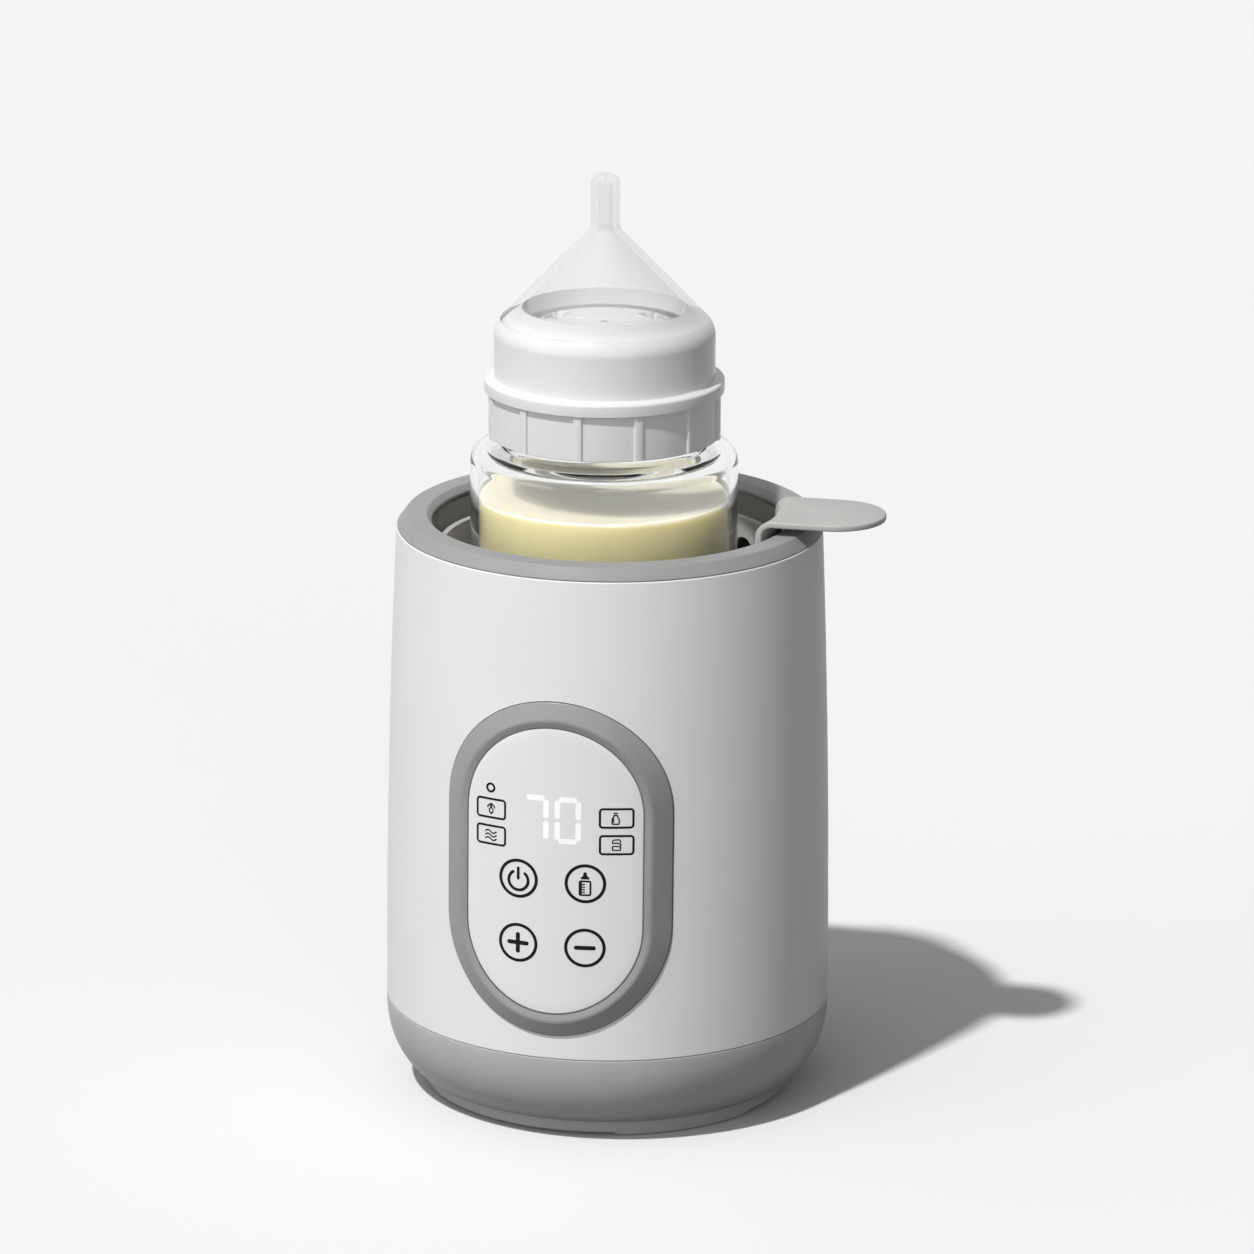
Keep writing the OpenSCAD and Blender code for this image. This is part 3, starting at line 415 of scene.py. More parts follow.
WHITE = Plastic("white_shell", (0.73, 0.73, 0.73), 0.38, mottle=0.012, ior=1.25, gloss=0.2)
GREY = Lacquer("grey_lacquer", (0.40, 0.40, 0.402))
RIM_GREY = Lacquer("rim_lacquer", (0.28, 0.28, 0.281), 0.45)
BEZEL_GREY = Lacquer("bezel_lacquer", (0.27, 0.27, 0.271), 0.24, gloss=0.35)
BASKET_GREY = Lacquer("basket_grey", (0.40, 0.395, 0.385), 0.45)
COATING = Metal("pot_coating", (0.10, 0.095, 0.085), 0.5, metallic=0.0, depth_mm=0.02)
LENS = Plastic("panel_lens_white", (0.72, 0.72, 0.725), 0.2, depth_mm=0.001, mottle=0.008)
INK = Ink("panel_ink", (0.003, 0.003, 0.0033))
DIGIT_GLOW = Glow("digit_glow", (0.86, 0.86, 0.86), 0.12)
GLASS = Glass("bottle_glass_clear", (0.985, 0.99, 0.99))
# The milk's second colour is painted light: a paler top that lifts it out of the collar's shadow.
MILK = Milk("milk_warm", (0.42, 0.385, 0.22), (0.46, 0.43, 0.33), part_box("milk")[1][2] / MM)
TEAT = Silicone("teat_silicone_clear", (0.68, 0.68, 0.69), 0.17, 0.5)
DISC = Silicone("vent_disc_milky", (0.62, 0.62, 0.63), 0.92)
# The collar's top tier gets painted shade: it is darkened so that its sunlit slope looks as dull
# as its sides.
COLLAR = Plastic("collar_white", (0.68, 0.68, 0.68), 0.22, depth_mm=0.002, mottle=0.008, ior=1.35,
                 gloss=0.3, crown_z=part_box("collar")[1][2] / MM, crown_painted_shade=0.76)
FOOT = Rubber("foot_rubber", (0.05, 0.05, 0.052))
# Grey rubber of the pot's seal, also used for the panel's dark rings of painted shade.
SEAL_AND_GAP_SHADE = Rubber("seal_and_gap_shade_grey", (0.10, 0.10, 0.103))
SCREW = Metal("screw_zinc", (0.55, 0.55, 0.57), 0.32)
CAST = Metal("cast_aluminium", (0.68, 0.68, 0.69), 0.48, depth_mm=0.05)
ELEMENT = Metal("element_tinted", (0.30, 0.25, 0.21), 0.38)
PLATED = Metal("plated_brass", (0.72, 0.55, 0.26), 0.25)
RESIN = Plastic("brown_resin", (0.20, 0.10, 0.05), 0.5)
CERAMIC = Plastic("white_ceramic", (0.72, 0.71, 0.67), 0.45)
BLACK = Plastic("black_nylon", (0.018, 0.018, 0.019), 0.42, depth_mm=0.02)
CLEAR_LAMP = Plastic("lamp_epoxy", (0.8, 0.76, 0.55), 0.15)
BOARD = Board("green_board", (0.012, 0.085, 0.03))
TAPE = Wrap("yellow_tape", (0.55, 0.36, 0.06), 2.0)
RELAY = Plastic("relay_blue", (0.02, 0.07, 0.28))
FILM = Plastic("film_capacitor_yellow", (0.5, 0.27, 0.02), 0.3)
SLEEVE = Plastic("capacitor_sleeve", (0.015, 0.02, 0.08), 0.28)
TERMINAL = Plastic("terminal_green", (0.03, 0.2, 0.07), 0.4)
BROWN_WIRE = Wrap("brown_insulation", (0.14, 0.055, 0.02))
WHITE_WIRE = Wrap("glass_fibre_sleeve", (0.68, 0.67, 0.64), 0.8)
FLAT_CABLE = Wrap("flat_cable_grey", (0.30, 0.30, 0.32), 1.0)


# ---- Mesh helpers


def lerp(a: float, b: float, t: float) -> float:
    """Value between a and b."""
    return a + (b - a) * t


def arc(centre: Point, radius: float | Point, start: float, stop: float, steps: int) -> Outline:
    """Points of an ellipse's arc.

    Args:
        centre: the arc's centre.
        radius: its radius, or its two half-axes.
        start: first angle, in degrees.
        stop: last angle, in degrees.
        steps: number of steps between them.

    Returns:
        The points, both ends included.
    """
    wide, high = radius if isinstance(radius, tuple) else (radius, radius)
    angles = [math.radians(lerp(start, stop, i / steps)) for i in range(steps + 1)]
    return [(centre[0] + wide * math.cos(a), centre[1] + high * math.sin(a)) for a in angles]


def polar(axis_x: float, radius: float, angle: float, z: float) -> Place:
    """Point at a radius, an angle in radians and a height about an upright axis."""
    return axis_x + radius * math.cos(angle), radius * math.sin(angle), z


def rounded(outline: Outline, radii: dict[int, float], steps: int = 5) -> Outline:
    """Rounds some corners of an outline.

    Args:
        outline: its corner points.
        radii: corner index to the radius of its rounding.
        steps: number of steps in a rounding.

    Returns:
        The outline with those corners replaced by arcs.
    """
    out: Outline = []
    count = len(outline)
    for i, here in enumerate(outline):
        radius = radii.get(i, 0.0)
        if not radius:
            out.append(here)
            continue
        p = Vector(here)
        to_last = (Vector(outline[i - 1]) - p).normalized()
        to_next = (Vector(outline[(i + 1) % count]) - p).normalized()
        half = to_last.angle(to_next) / 2
        centre = p + (to_last + to_next).normalized() * (radius / math.sin(half))
        first = p + to_last * (radius / math.tan(half)) - centre
        last = p + to_next * (radius / math.tan(half)) - centre
        for k in range(steps + 1):
            t = k / steps
            spoke = (first * (1 - t) + last * t).normalized() * radius
            out.append(tuple(centre + spoke))
    return out


def make_mesh(name: str, points: Iterable, faces: Iterable, sharp: float = 35.0) -> Piece:
    """Makes a mesh object from points in millimetres.

    Args:
        name: the piece's name.
        points: vertex positions.
        faces: vertex indices of each face.
        sharp: angle, in degrees, above which an edge stays sharp.

    Returns:
        The object, in metres.
    """
    mesh = bpy.data.meshes.new(name)
    mesh.from_pydata([tuple(c * MM for c in p) for p in points], [], list(faces))
    return link_mesh(name, mesh, sharp)


def link_mesh(name: str, mesh: bpy.types.Mesh, sharp: float) -> Piece:
    """Cleans, shades and links a mesh.

    Args:
        name: the piece's name.
        mesh: its mesh, in metres.
        sharp: angle, in degrees, above which an edge stays sharp.

    Returns:
        The object.
    """
    work = bmesh.new()
    work.from_mesh(mesh)
    bmesh.ops.remove_doubles(work, verts=work.verts, dist=1e-7)
    bmesh.ops.recalc_face_normals(work, faces=work.faces)
    work.to_mesh(mesh)
    work.free()
    mesh.shade_smooth()
    mesh.set_sharp_from_angle(angle=math.radians(sharp))
    piece = bpy.data.objects.new(name, mesh)
    bpy.context.scene.collection.objects.link(piece)
    return piece


def loft(name: str, rings: Sequence[Sequence], closed: bool, sharp: float = 35.0) -> Piece:
    """Skins a row of rings that have equally many points.

    Args:
        name: the piece's name.
        rings: rows of points; each row closes on itself.
        closed: whether the last ring joins the first; otherwise both ends get a face.
        sharp: angle above which an edge stays sharp.

    Returns:
        The object.
    """
    n = len(rings[0])
    points = [p for ring in rings for p in ring]
    faces: list[list[int]] = []
    rows = len(rings)
    for i in range(rows if closed else rows - 1):
        low, high = i * n, ((i + 1) % rows) * n
        faces += [[low + k, low + (k + 1) % n, high + (k + 1) % n, high + k] for k in range(n)]
    if not closed:
        faces += [list(range(n)), list(range((rows - 1) * n, rows * n))]
    return make_mesh(name, points, faces, sharp)


def lathe(name: str, outline: Outline, angles: Sequence[float] | int,
          warp: Warp | None = None, sharp: float = 35.0, axis_x: float = 0.0) -> Piece:
    """Turns a closed outline round an upright axis.

    Args:
        name: the piece's name.
        outline: (radius, height) points; an outline that starts and ends on the axis is a solid.
        angles: the directions of its rings in degrees, or how many to space evenly.
        warp: maps (angle, radius, height) to a new (radius, height).
        sharp: angle above which an edge stays sharp.
        axis_x: where the axis crosses X.

    Returns:
        The object.
    """
    if isinstance(angles, int):
        angles = [i * 360 / angles for i in range(angles)]
    rings = []
    for angle in angles:
        row = [warp(angle, r, z) if warp else (r, z) for r, z in outline]
        rings.append([polar(axis_x, r, math.radians(angle), z) for r, z in row])
    n = len(outline)
    count = len(rings)
    solid = outline[0][0] < 1e-6
    faces = [[i * n + k, ((i + 1) % count) * n + k, ((i + 1) % count) * n + (k + 1) % n,
              i * n + (k + 1) % n] for i in range(count) for k in range(n - 1 if solid else n)]
    return make_mesh(name, [p for ring in rings for p in ring], faces, sharp)


def ridge(name: str, axis_x: float, radii: Point, start_z: float, turns: float, lead: float = 8.0,
          width: float = 2.0) -> Piece:
    """One ridge of a screw thread, whose ends run out into the wall.

    Args:
        name: the piece's name.
        axis_x: where the axis crosses X.
        radii: radius of its root, a little inside the wall, and of its crest.
        start_z: height of its start.
        turns: how far it goes round.
        lead: how much it climbs in a turn.
        width: its width at the root.

    Returns:
        The object.
    """
    root, crest = radii
    steps = round(turns * 60)
    rings = []
    for i in range(steps + 1):
        a = math.radians(turns * 360 * i / steps)
        z = start_z + lead * turns * i / steps
        top = lerp(root, crest, max(0.02, min(1.0, i / 4, (steps - i) / 4)))
        section = [(root, -width / 2), (top, -width / 4), (top, width / 4), (root, width / 2)]
        rings.append([polar(axis_x, r, a, z + h) for r, h in section])
    return loft(name, rings, False, 50)


def carry(node: str, name: str, sharp: float, round_mm: float = 0.0,
          pick: Callable[[Vector, Vector], bool] | None = None) -> Piece:
    """Copies a CAD node's mesh into a piece with joined faces, smooth bands and rounded edges.

    Args:
        node: the CAD node.
        name: the new piece's name.
        sharp: angle above which an edge stays sharp.
        round_mm: how far the picked edges are rounded.
        pick: says, from its two ends in millimetres, whether a sharp edge is rounded.

    Returns:
        The object.
    """
    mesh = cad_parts[node].data.copy()
    mesh.name = name
    mesh.materials.clear()
    work = bmesh.new()
    work.from_mesh(mesh)
    bmesh.ops.remove_doubles(work, verts=work.verts, dist=2e-6)
    if pick:
        bmesh.ops.dissolve_limit(work, angle_limit=math.radians(0.3), verts=work.verts,
                                 edges=work.edges)
        chosen = [e for e in work.edges if len(e.link_faces) == 2
                  and e.calc_face_angle() > math.radians(50)
                  and pick(e.verts[0].co / MM, e.verts[1].co / MM)]
        bmesh.ops.bevel(work, geom=chosen, offset=round_mm * MM, segments=3, profile=0.5,
                        affect="EDGES", clamp_overlap=True)
    work.to_mesh(mesh)
    work.free()
    return link_mesh(name, mesh, sharp)


def turned(piece: Piece, slope: Callable[[float], float], reach: float = 0.985) -> None:
    """Gives a piece's turned walls their exact normals, so that their holes leave no bands.

    Args:
        piece: the piece, turned about the vertical axis.
        slope: how fast the radius grows with height, at a height in millimetres.
        reach: how close to its exact normal a face has to be to count as such a wall.
    """
    mesh = piece.data
    normals = [corner.vector.copy() for corner in mesh.corner_normals]
    for face in mesh.polygons:
        for i in face.loop_indices:
            p = mesh.vertices[mesh.loops[i].vertex_index].co
            out = Vector((p.x, p.y, 0.0)).normalized()
            exact = Vector((out.x, out.y, -slope(p.z / MM))).normalized()
            along = exact.dot(face.normal)
            if abs(along) > reach:
                normals[i] = exact * math.copysign(1.0, along)
    mesh.normals_split_custom_set(normals)


# ---- Sub-assemblies


@dataclass
class Assembly:
    """Pieces that ride on one body."""

    body: str = "warmer"

    def add(self, piece: Piece, finish: Finish, slot: str, *nodes: str) -> None:
        """Dresses a piece and joins it to the body; clear pieces let the light through.

        Args:
            piece: the new object.
            finish: its finish.
            slot: the record's material slot; not used.
            nodes: CAD nodes that it stands for.
        """
        piece.data.materials.clear()
        piece.data.materials.append(finish.build())
        piece.visible_shadow = not isinstance(finish, (Glass, Silicone))
        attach(piece, self.body)
        if nodes:
            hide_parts(*nodes)
        LOG.info("%s: %d faces, %s", piece.name, len(piece.data.polygons), finish.name)

    def dress(self, node: str, finish: Finish) -> None:
        """Gives a CAD node its finish.

        Args:
            node: the CAD node.
            finish: its finish.
        """
        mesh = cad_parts[node].data
        mesh.materials.clear()
        mesh.materials.append(finish.build())
        LOG.info("%s: kept, %s", node, finish.name)


def box_mm(node: str) -> tuple[Vector, Vector]:
    """Lowest and highest corner of a CAD node, in millimetres."""
    low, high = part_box(node)
    return low / MM, high / MM


@dataclass
class Side:
    """The body's side, which draws in from its widest line to the rim."""

    widest_r: float = field(default_factory=lambda: box_mm("bottom_shell")[1].x)
    rim_r: float = field(default_factory=lambda: box_mm("top_ring")[1].x)
    widest_z: float = 22.0
    rim_z: float = 149.06

    def radius(self, z: float) -> float:
        """Radius of the side at a height."""
        share = (z - self.widest_z) / (self.rim_z - self.widest_z)
        return self.widest_r - (self.widest_r - self.rim_r) * share * share


@dataclass
class Housing(Assembly):
    """Side shell, rim, rounded bottom, base and pot."""

    side: Side = field(default_factory=Side)
    shell_edge: float = 0.28
    slope_w: float = 2.4
    lip_r: float = 45.6
    lip_w: float = 1.3
    lip_h: float = 1.6
    rim_t: float = 2.2
    skirt_in: float = 2.4
    skirt_t: float = 1.6
    bowl: Point = (14.3, 19.5)
    seam_z: float = 23.66
    bowl_t: float = 2.4
    bowl_lip_t: float = 2.2
    plate_top_z: float = 2.4
    base_skirt_w: float = 3.0
    lobe_turn: float = -64.0
    lobe_half: float = 23.0
    lobe_ramp: float = 1.5
    lobe_drop: float = 0.7

    def build(self) -> None:
        """Makes and dresses the housing's pieces."""
        ends = [corner.z for corner in box_mm("outer_shell")]

        def at_end(a: Vector, b: Vector) -> bool:
            """Whether an edge lies on the outside of the shell's top or bottom."""
            return any(abs(a.z - z) < 0.01 and abs(b.z - z) < 0.01 for z in ends) and min(
                a.xy.length, b.xy.length) > self.side.radius(a.z) - 0.3

        shell = carry("outer_shell", "shell", 30.0, self.shell_edge, at_end)
        turned(shell, lambda z: self.side.radius(z + 0.5) - self.side.radius(z - 0.5))
        self.add(shell, WHITE, "white_shell", "outer_shell")
        self.add(self.rim(), RIM_GREY, "grey_plastic", "top_ring")
        self.add(self.bottom(), GREY, "grey_plastic", "bottom_shell")
        self.add(self.base(), GREY, "grey_plastic", "base_plate")
        self.add(carry("heating_pot", "pot", 35.0), COATING, "pot_coating", "heating_pot")
        self.dress("anti_slip_ring", FOOT)
        self.dress("pot_seal", SEAL_AND_GAP_SHADE)

    def rim(self) -> Piece:
        """Rim with a sloping outer band, a flat top, an inner lip and a skirt inside the shell.

        Returns:
            The rim.
        """
        low, high = box_mm("top_ring")
        outer, top = high.x, high.z
        under = top - self.rim_t
        skirt = outer - self.skirt_in
        outline = [(outer, self.side.rim_z), (outer - self.slope_w, top),
                   (self.lip_r + self.lip_w, top), (self.lip_r, top - self.lip_h),
                   (self.lip_r, under), (skirt - self.skirt_t, under),
                   (skirt - self.skirt_t, low.z), (skirt, low.z), (skirt, self.side.rim_z)]
        return lathe("rim", rounded(outline, {0: 0.22, 1: 0.6, 2: 0.9, 3: 0.5}), 240)

    def bottom(self) -> Piece:
        """Rounded bottom shell.

        Returns:
            The shell.
        """
        low_z = box_mm("bottom_shell")[0].z
        inner_z = low_z + self.bowl_t
        reach, rise = self.bowl
        x, z = self.side.widest_r - reach, self.side.widest_z
        first, last = (-math.degrees(math.asin((z - end) / radius))
                       for end, radius in ((low_z, rise), (inner_z, rise - self.bowl_t)))
        outer = arc((x, z), (reach, rise), first, 0, 36)
        inner = arc((x, z), (reach - self.bowl_t, rise - self.bowl_t), 0, last, 16)
        top = self.side.radius(self.seam_z)
        lip = rounded([outer[-1], (top, self.seam_z), (top - self.bowl_lip_t, self.seam_z),
                       inner[0]], {1: 0.25})
        outline = [(0.0, low_z)] + outer[:-1] + lip + inner[1:] + [(0.0, inner_z)]
        return lathe("bottom_bowl", outline, 240, sharp=50)

    def base(self) -> Piece:
        """Base plate whose skirt is lower along two arcs.

        Returns:
            The plate.
        """
        low, high = box_mm("base_plate")
        outer, floor_z = high.x, self.plate_top_z
        inner = outer - self.base_skirt_w
        skirt_z = low.z + self.lobe_drop
        outline = rounded([(outer, high.z), (0.0, high.z), (0.0, floor_z), (inner, floor_z),
                           (inner, skirt_z), (outer, skirt_z)], {0: 0.15, 4: 0.4, 5: 0.5})
        start = outline.index((0.0, floor_z))

        def lobes(angle: float, r: float, z: float) -> Point:
            """Lowers the skirt along its two arcs.

            Args:
                angle: direction of the point, in degrees.
                r: its radius.
                z: its height.

            Returns:
                The new radius and height.
            """
            off = (angle - self.lobe_turn + 90) % 180 - 90
            ramp = min(1.0, max(0.0, (self.lobe_half - abs(off)) / self.lobe_ramp + 0.5))
            return r, z - self.lobe_drop * ramp * (z < floor_z - 0.4)

        return lathe("base_cover", outline[start:] + outline[:start], 360, lobes, 50)


class Stroke(Enum):
    """Widths of the panel's printed lines."""

    RING = 0.82
    SIGN = 1.1
    BOX = 0.57


def circle(x: float, z: float, radius: float) -> Outline:
    """Closed circle round a point."""
    return arc((x, z), radius, 0, 360, 48)


def round_box(x0: float, x1: float, z0: float, z1: float, radius: float, steps: int) -> Outline:
    """Closed box outline with round corners."""
    box = rounded([(x0, z0), (x1, z0), (x1, z1), (x0, z1)], {i: radius for i in range(4)}, steps)
    return box + box[:1]


def placed(x: float, z: float, strokes: Strokes) -> Strokes:
    """Lines moved to a point."""
    return [([(x + u, z + v) for u, v in path], width) for path, width in strokes]


ARROW_SIGN: Strokes = [
    ([(-1.0, 0.35), (-0.85, 0.72), (0.0, 1.4), (0.85, 0.72), (1.0, 0.35)], 0.36),
    ([(-0.5, 0.0), (-0.5, -0.8), (0.0, -1.3), (0.5, -0.8), (0.5, 0.0)], 0.36),
    ([(0.0, 0.25), (0.0, 0.85)], 0.62), ([(-0.2, -1.12), (0.2, -1.12)], 0.45)]
WAVE_SIGN: Strokes = [
    ([(3.0 * k / 16, z + 0.36 * math.sin(2 * math.pi * (k / 16 + 0.02))) for k in range(17)], 0.38)
    for z in (0.0, 0.95, 1.9)]
FLASK_HALF: Outline = [(0.72, 0.0), (0.88, 0.45), (0.84, 1.35), (0.42, 2.0), (0.4, 2.35)]
FLASK_SIGN: Strokes = [
    (FLASK_HALF + [(-u, v) for u, v in reversed(FLASK_HALF)] + FLASK_HALF[:1], 0.36),
    ([(-0.42, 2.85), (0.42, 2.85)], 0.34), ([(-0.5, 0.5), (-0.5, 1.4)], 0.3)]
STACK_SIGN: Strokes = [
    (path, 0.34) for path in ([(-1.0, 0.7), (-1.0, 0.0), (0.9, 0.0), (1.0, 0.7)],
                              [(-1.0, 0.85), (-0.5, 1.05), (0.9, 0.9), (1.0, 1.3)],
                              [(-1.0, 1.75), (-0.2, 1.9), (0.6, 1.75), (1.05, 1.5)],
                              [(-1.0, 2.1), (-0.85, 2.65), (0.7, 2.75), (1.0, 2.1)])]
BOTTLE_SIGN: Strokes = [
    (round_box(-1.32, 1.32, -3.0, 0.62, 0.3, 3), 0.48), ([(-1.1, -2.9), (-1.1, 0.52)], 0.62),
    *(([(-0.9, 0.68 * k - 2.25), (-0.12, 0.68 * k - 2.25)], 0.34) for k in range(4)),
    ([(-0.78, 1.45), (0.78, 1.45)], 0.62), ([(-0.4, 1.85), (0.4, 1.85)], 0.6),
    ([(0.0, 2.1), (0.0, 2.62)], 0.86)]
POWER_SIGN: Strokes = [([(0.0, 0.0), (0.0, 2.75)], 0.74),
                       (arc((0.05, -0.5), 2.55, 124, 408, 36), 0.78)]


@dataclass
class TouchPanel(Assembly):
    """Bezel, lens, printed symbols and lit digits, laid out about the panel's middle."""

    side: Side = field(default_factory=Side)
    turn: float = -14.1
    middle_z: float = 73.95
    straight: float = 14.65
    bezel_r: float = 29.15
    inner_r: float = 23.05
    wall_t: float = 1.5
    crest_w: float = 0.6
    proud: float = 2.4
    edge_h: float = 0.5
    sunk: float = 1.6
    sink: float = 0.04
    lens_gap: float = 0.22
    lens_h: float = 1.9
    lens_t: float = 3.2
    lens_round: float = 0.3
    gap_shade_w: float = 0.25
    gap_shade_t: float = 0.12
    gap_shade_h: float = 0.03
    print_h: float = 0.025
    key_r: float = 4.72
    bar_w: float = 1.4
    bar_gap: float = 0.3
    digit_low: float = 8.35
    digit_high: float = 19.2
    around: int = 40

    def spot(self, u: float, v: float, h: float, flat: bool = False) -> Vector:
        """Point on the side in front of the panel.

        Args:
            u: distance to the right of the panel's middle line.
            v: height above the panel's middle.
            h: distance outside the side's surface.
            flat: whether u is measured straight across and not along the surface.

        Returns:
            The point.
        """
        z = self.middle_z + v
        radius = self.side.radius(z) + h
        angle = math.asin(u / radius) if flat else u / self.side.radius(z)
        turned = math.radians(self.turn) + angle
        return Vector((radius * math.sin(turned), -radius * math.cos(turned), z))

    def stadium(self, radius: float, height: float) -> list[Vector]:
        """Ring of points on a stadium outline.

        Args:
            radius: radius of its round ends.
            height: distance outside the side's surface.

        Returns:
            The points.
        """
        ring = []
        for sign in (1, -1):
            for k in range(self.around + 1):
                a = math.pi * k / self.around
                ring.append((sign * radius * math.cos(a),
                             sign * (self.straight + radius * math.sin(a))))
            ring += [(-sign * radius, sign * lerp(self.straight, -self.straight, k / 12))
                     for k in range(1, 12)]
        return [self.spot(u, v, height, True) for u, v in ring]

    def build(self) -> None:
        """Makes and dresses the panel's pieces."""
        self.add(self.bezel(), BEZEL_GREY, "grey_plastic", "panel_bezel")
        # Thin dark rings of painted shade in the gaps round the bezel and round the lens.
        self.gap_shade("bezel_gap_shade", self.bezel_r - 0.03, self.gap_shade_h)
        self.gap_shade("lens_gap_shade", self.inner_r - 0.21, self.lens_h + self.gap_shade_h)
        self.add(self.lens(), LENS, "lens_plastic", "panel_lens")
        for name, strokes in self.symbols().items():
            patches = [self.ribbon(path, width) for path, width in strokes]
            self.add(self.joined("symbol_" + name, patches), INK, "lens_plastic")
        for name, bars in (("digit_left", self.bars(-6.6, "abc", 5.25)),
                           ("digit_right", self.bars(1.5, "abcdef", 5.2))):
            patches = [self.bar(*ends) for ends in bars]
            self.add(self.joined(name, patches), DIGIT_GLOW, "lens_plastic")

    def bezel(self) -> Piece:
        """Bezel with a steep inner slope, a round crest and a broad outer slope.

        Returns:
            The bezel.
        """
        inner, wall = self.inner_r, self.inner_r + self.wall_t
        section = [(inner, -self.sunk), (inner, self.lens_h + 0.02), (wall, self.proud),
                   (wall + self.crest_w, self.proud), (self.bezel_r, self.edge_h),
                   (self.bezel_r, -self.sink), (wall, -self.sink), (wall, -self.sunk)]
        section = rounded(section, {1: 0.12, 2: 0.5, 3: 0.9, 4: 0.3})
        return loft("bezel", [self.stadium(r, h) for r, h in section], True)

    def gap_shade(self, name: str, radius: float, height: float) -> None:
        """Makes and dresses a thin dark ring, painted shade in the gap beside a part.

        Args:
            name: its name.
            radius: its inner radius.
            height: height of its top over the side.
        """
        wide, low = radius + self.gap_shade_w, height - self.gap_shade_t
        rows = [(radius, low), (radius, height), (wide, height), (wide, low)]
        self.add(loft(name, [self.stadium(*row) for row in rows], True), SEAL_AND_GAP_SHADE, "seal_silicone")

    def lens(self) -> Piece:
        """White lens with a small round edge, set a little below the bezel's crest.

        Returns:
            The lens.
        """
        edge, top, fillet = self.inner_r - self.lens_gap, self.lens_h, self.lens_round
        rows = [(0.02, top)] + [(edge * k / 10, top) for k in range(1, 10)]
        rows += arc((edge - fillet, top - fillet), fillet, 90, 0, 4) + [(edge, top - self.lens_t)]
        return loft("lens", [self.stadium(r, h) for r, h in rows], False)

    def on_lens(self, p: Vector) -> Vector:
        """Point of the print, on the lens."""
        return self.spot(p.x, p.y, self.lens_h + self.print_h)

    def ribbon(self, path: Outline, width: float) -> Patch:
        """Flat line with round ends along a path on the lens.

        Args:
            path: the line's points.
            width: its width.

        Returns:
            Its vertices and faces.
        """
        ends = [Vector(path[0]), Vector(path[-1])]
        closed = (ends[0] - ends[1]).length < 1e-6
        spine = self.resampled([Vector(p) for p in path])
        left, right = [], []
        last = len(spine) - 1
        for i, p in enumerate(spine):
            if closed and i in (0, last):
                along = (spine[1] - spine[last - 1]).normalized()
            else:
                along = (spine[min(i + 1, last)] - spine[max(i - 1, 0)]).normalized()
            across = Vector((-along.y, along.x)) * width / 2
            left.append(p + across)
            right.append(p - across)
        flat = left + right
        n = len(spine)
        faces = [[i, i + 1, n + i + 1, n + i] for i in range(n - 1)]
        if not closed:
            for end, first in ((spine[0], left[0]), (spine[-1], right[-1])):
                faces.append(list(range(len(flat), len(flat) + 9)))
                flat += [end + (first - end) @ Matrix.Rotation(-math.pi * k / 8, 2)
                         for k in range(9)]
        return [self.on_lens(p) for p in flat], faces

    @staticmethod
    def resampled(path: list[Vector], step: float = 0.35) -> list[Vector]:
        """Puts more points on a path.

        Args:
            path: its points.
            step: the longest distance between the new ones.

        Returns:
            The new points.
        """
        out = [path[0]]
        for a, b in zip(path, path[1:]):
            parts = max(1, math.ceil((b - a).length / step))
            out += [a.lerp(b, k / parts) for k in range(1, parts + 1)]
        return out

    @staticmethod
    def joined(name: str, patches: Iterable[Patch]) -> Piece:
        """Makes one piece of several patches.

        Args:
            name: the piece's name.
            patches: the vertices and faces of each.

        Returns:
            The object.
        """
        points: list[Vector] = []
        faces: list[list[int]] = []
        for more, new in patches:
            faces += [[len(points) + i for i in face] for face in new]
            points += more
        return make_mesh(name, points, faces)

    def symbols(self) -> dict[str, Strokes]:
        """Lines of every printed symbol.

        Returns:
            The lines, by the symbol's name.
        """
        ring, sign, box = (stroke.value for stroke in Stroke)
        top, low, left, right = -2.47, -19.43, -8.4, 8.55

        def framed(box_at: tuple[float, ...], x: float, z: float, strokes: Strokes) -> Strokes:
            """A sign in its box."""
            return [(round_box(*box_at, 0.7, 4), box)] + placed(x, z, strokes)

        def key(x: float, z: float, strokes: Strokes) -> Strokes:
            """A key's sign in its ring."""
            return [(circle(x, z, self.key_r), ring)] + placed(x, z, strokes)

        level = [([(-2.3, 0.0), (2.3, 0.0)], sign), ([(0.0, -2.2), (0.0, 2.2)], sign)]
        return {
            "lamp": [(circle(-16.08, 20.2, 1.02), 0.6)],
            "boost": framed((-19.85, -12.05, 12.42, 17.26), -15.93, 14.7, ARROW_SIGN),
            "steam": framed((-19.8, -12.0, 5.5, 10.24), -17.45, 6.8, WAVE_SIGN),
            "flask": framed((11.95, 20.1, 12.36, 17.17), 15.78, 13.25, FLASK_SIGN),
            "stack": framed((12.03, 20.18, 5.4, 10.15), 16.08, 6.45, STACK_SIGN),
            "power": key(left, top, POWER_SIGN), "plus": key(left, low, level),
            "minus": key(right, low, [([(-2.15, 0.0), (2.15, 0.0)], sign)]),
            "bottle": key(right, top, placed(-0.07, 0.0, BOTTLE_SIGN)),
        }

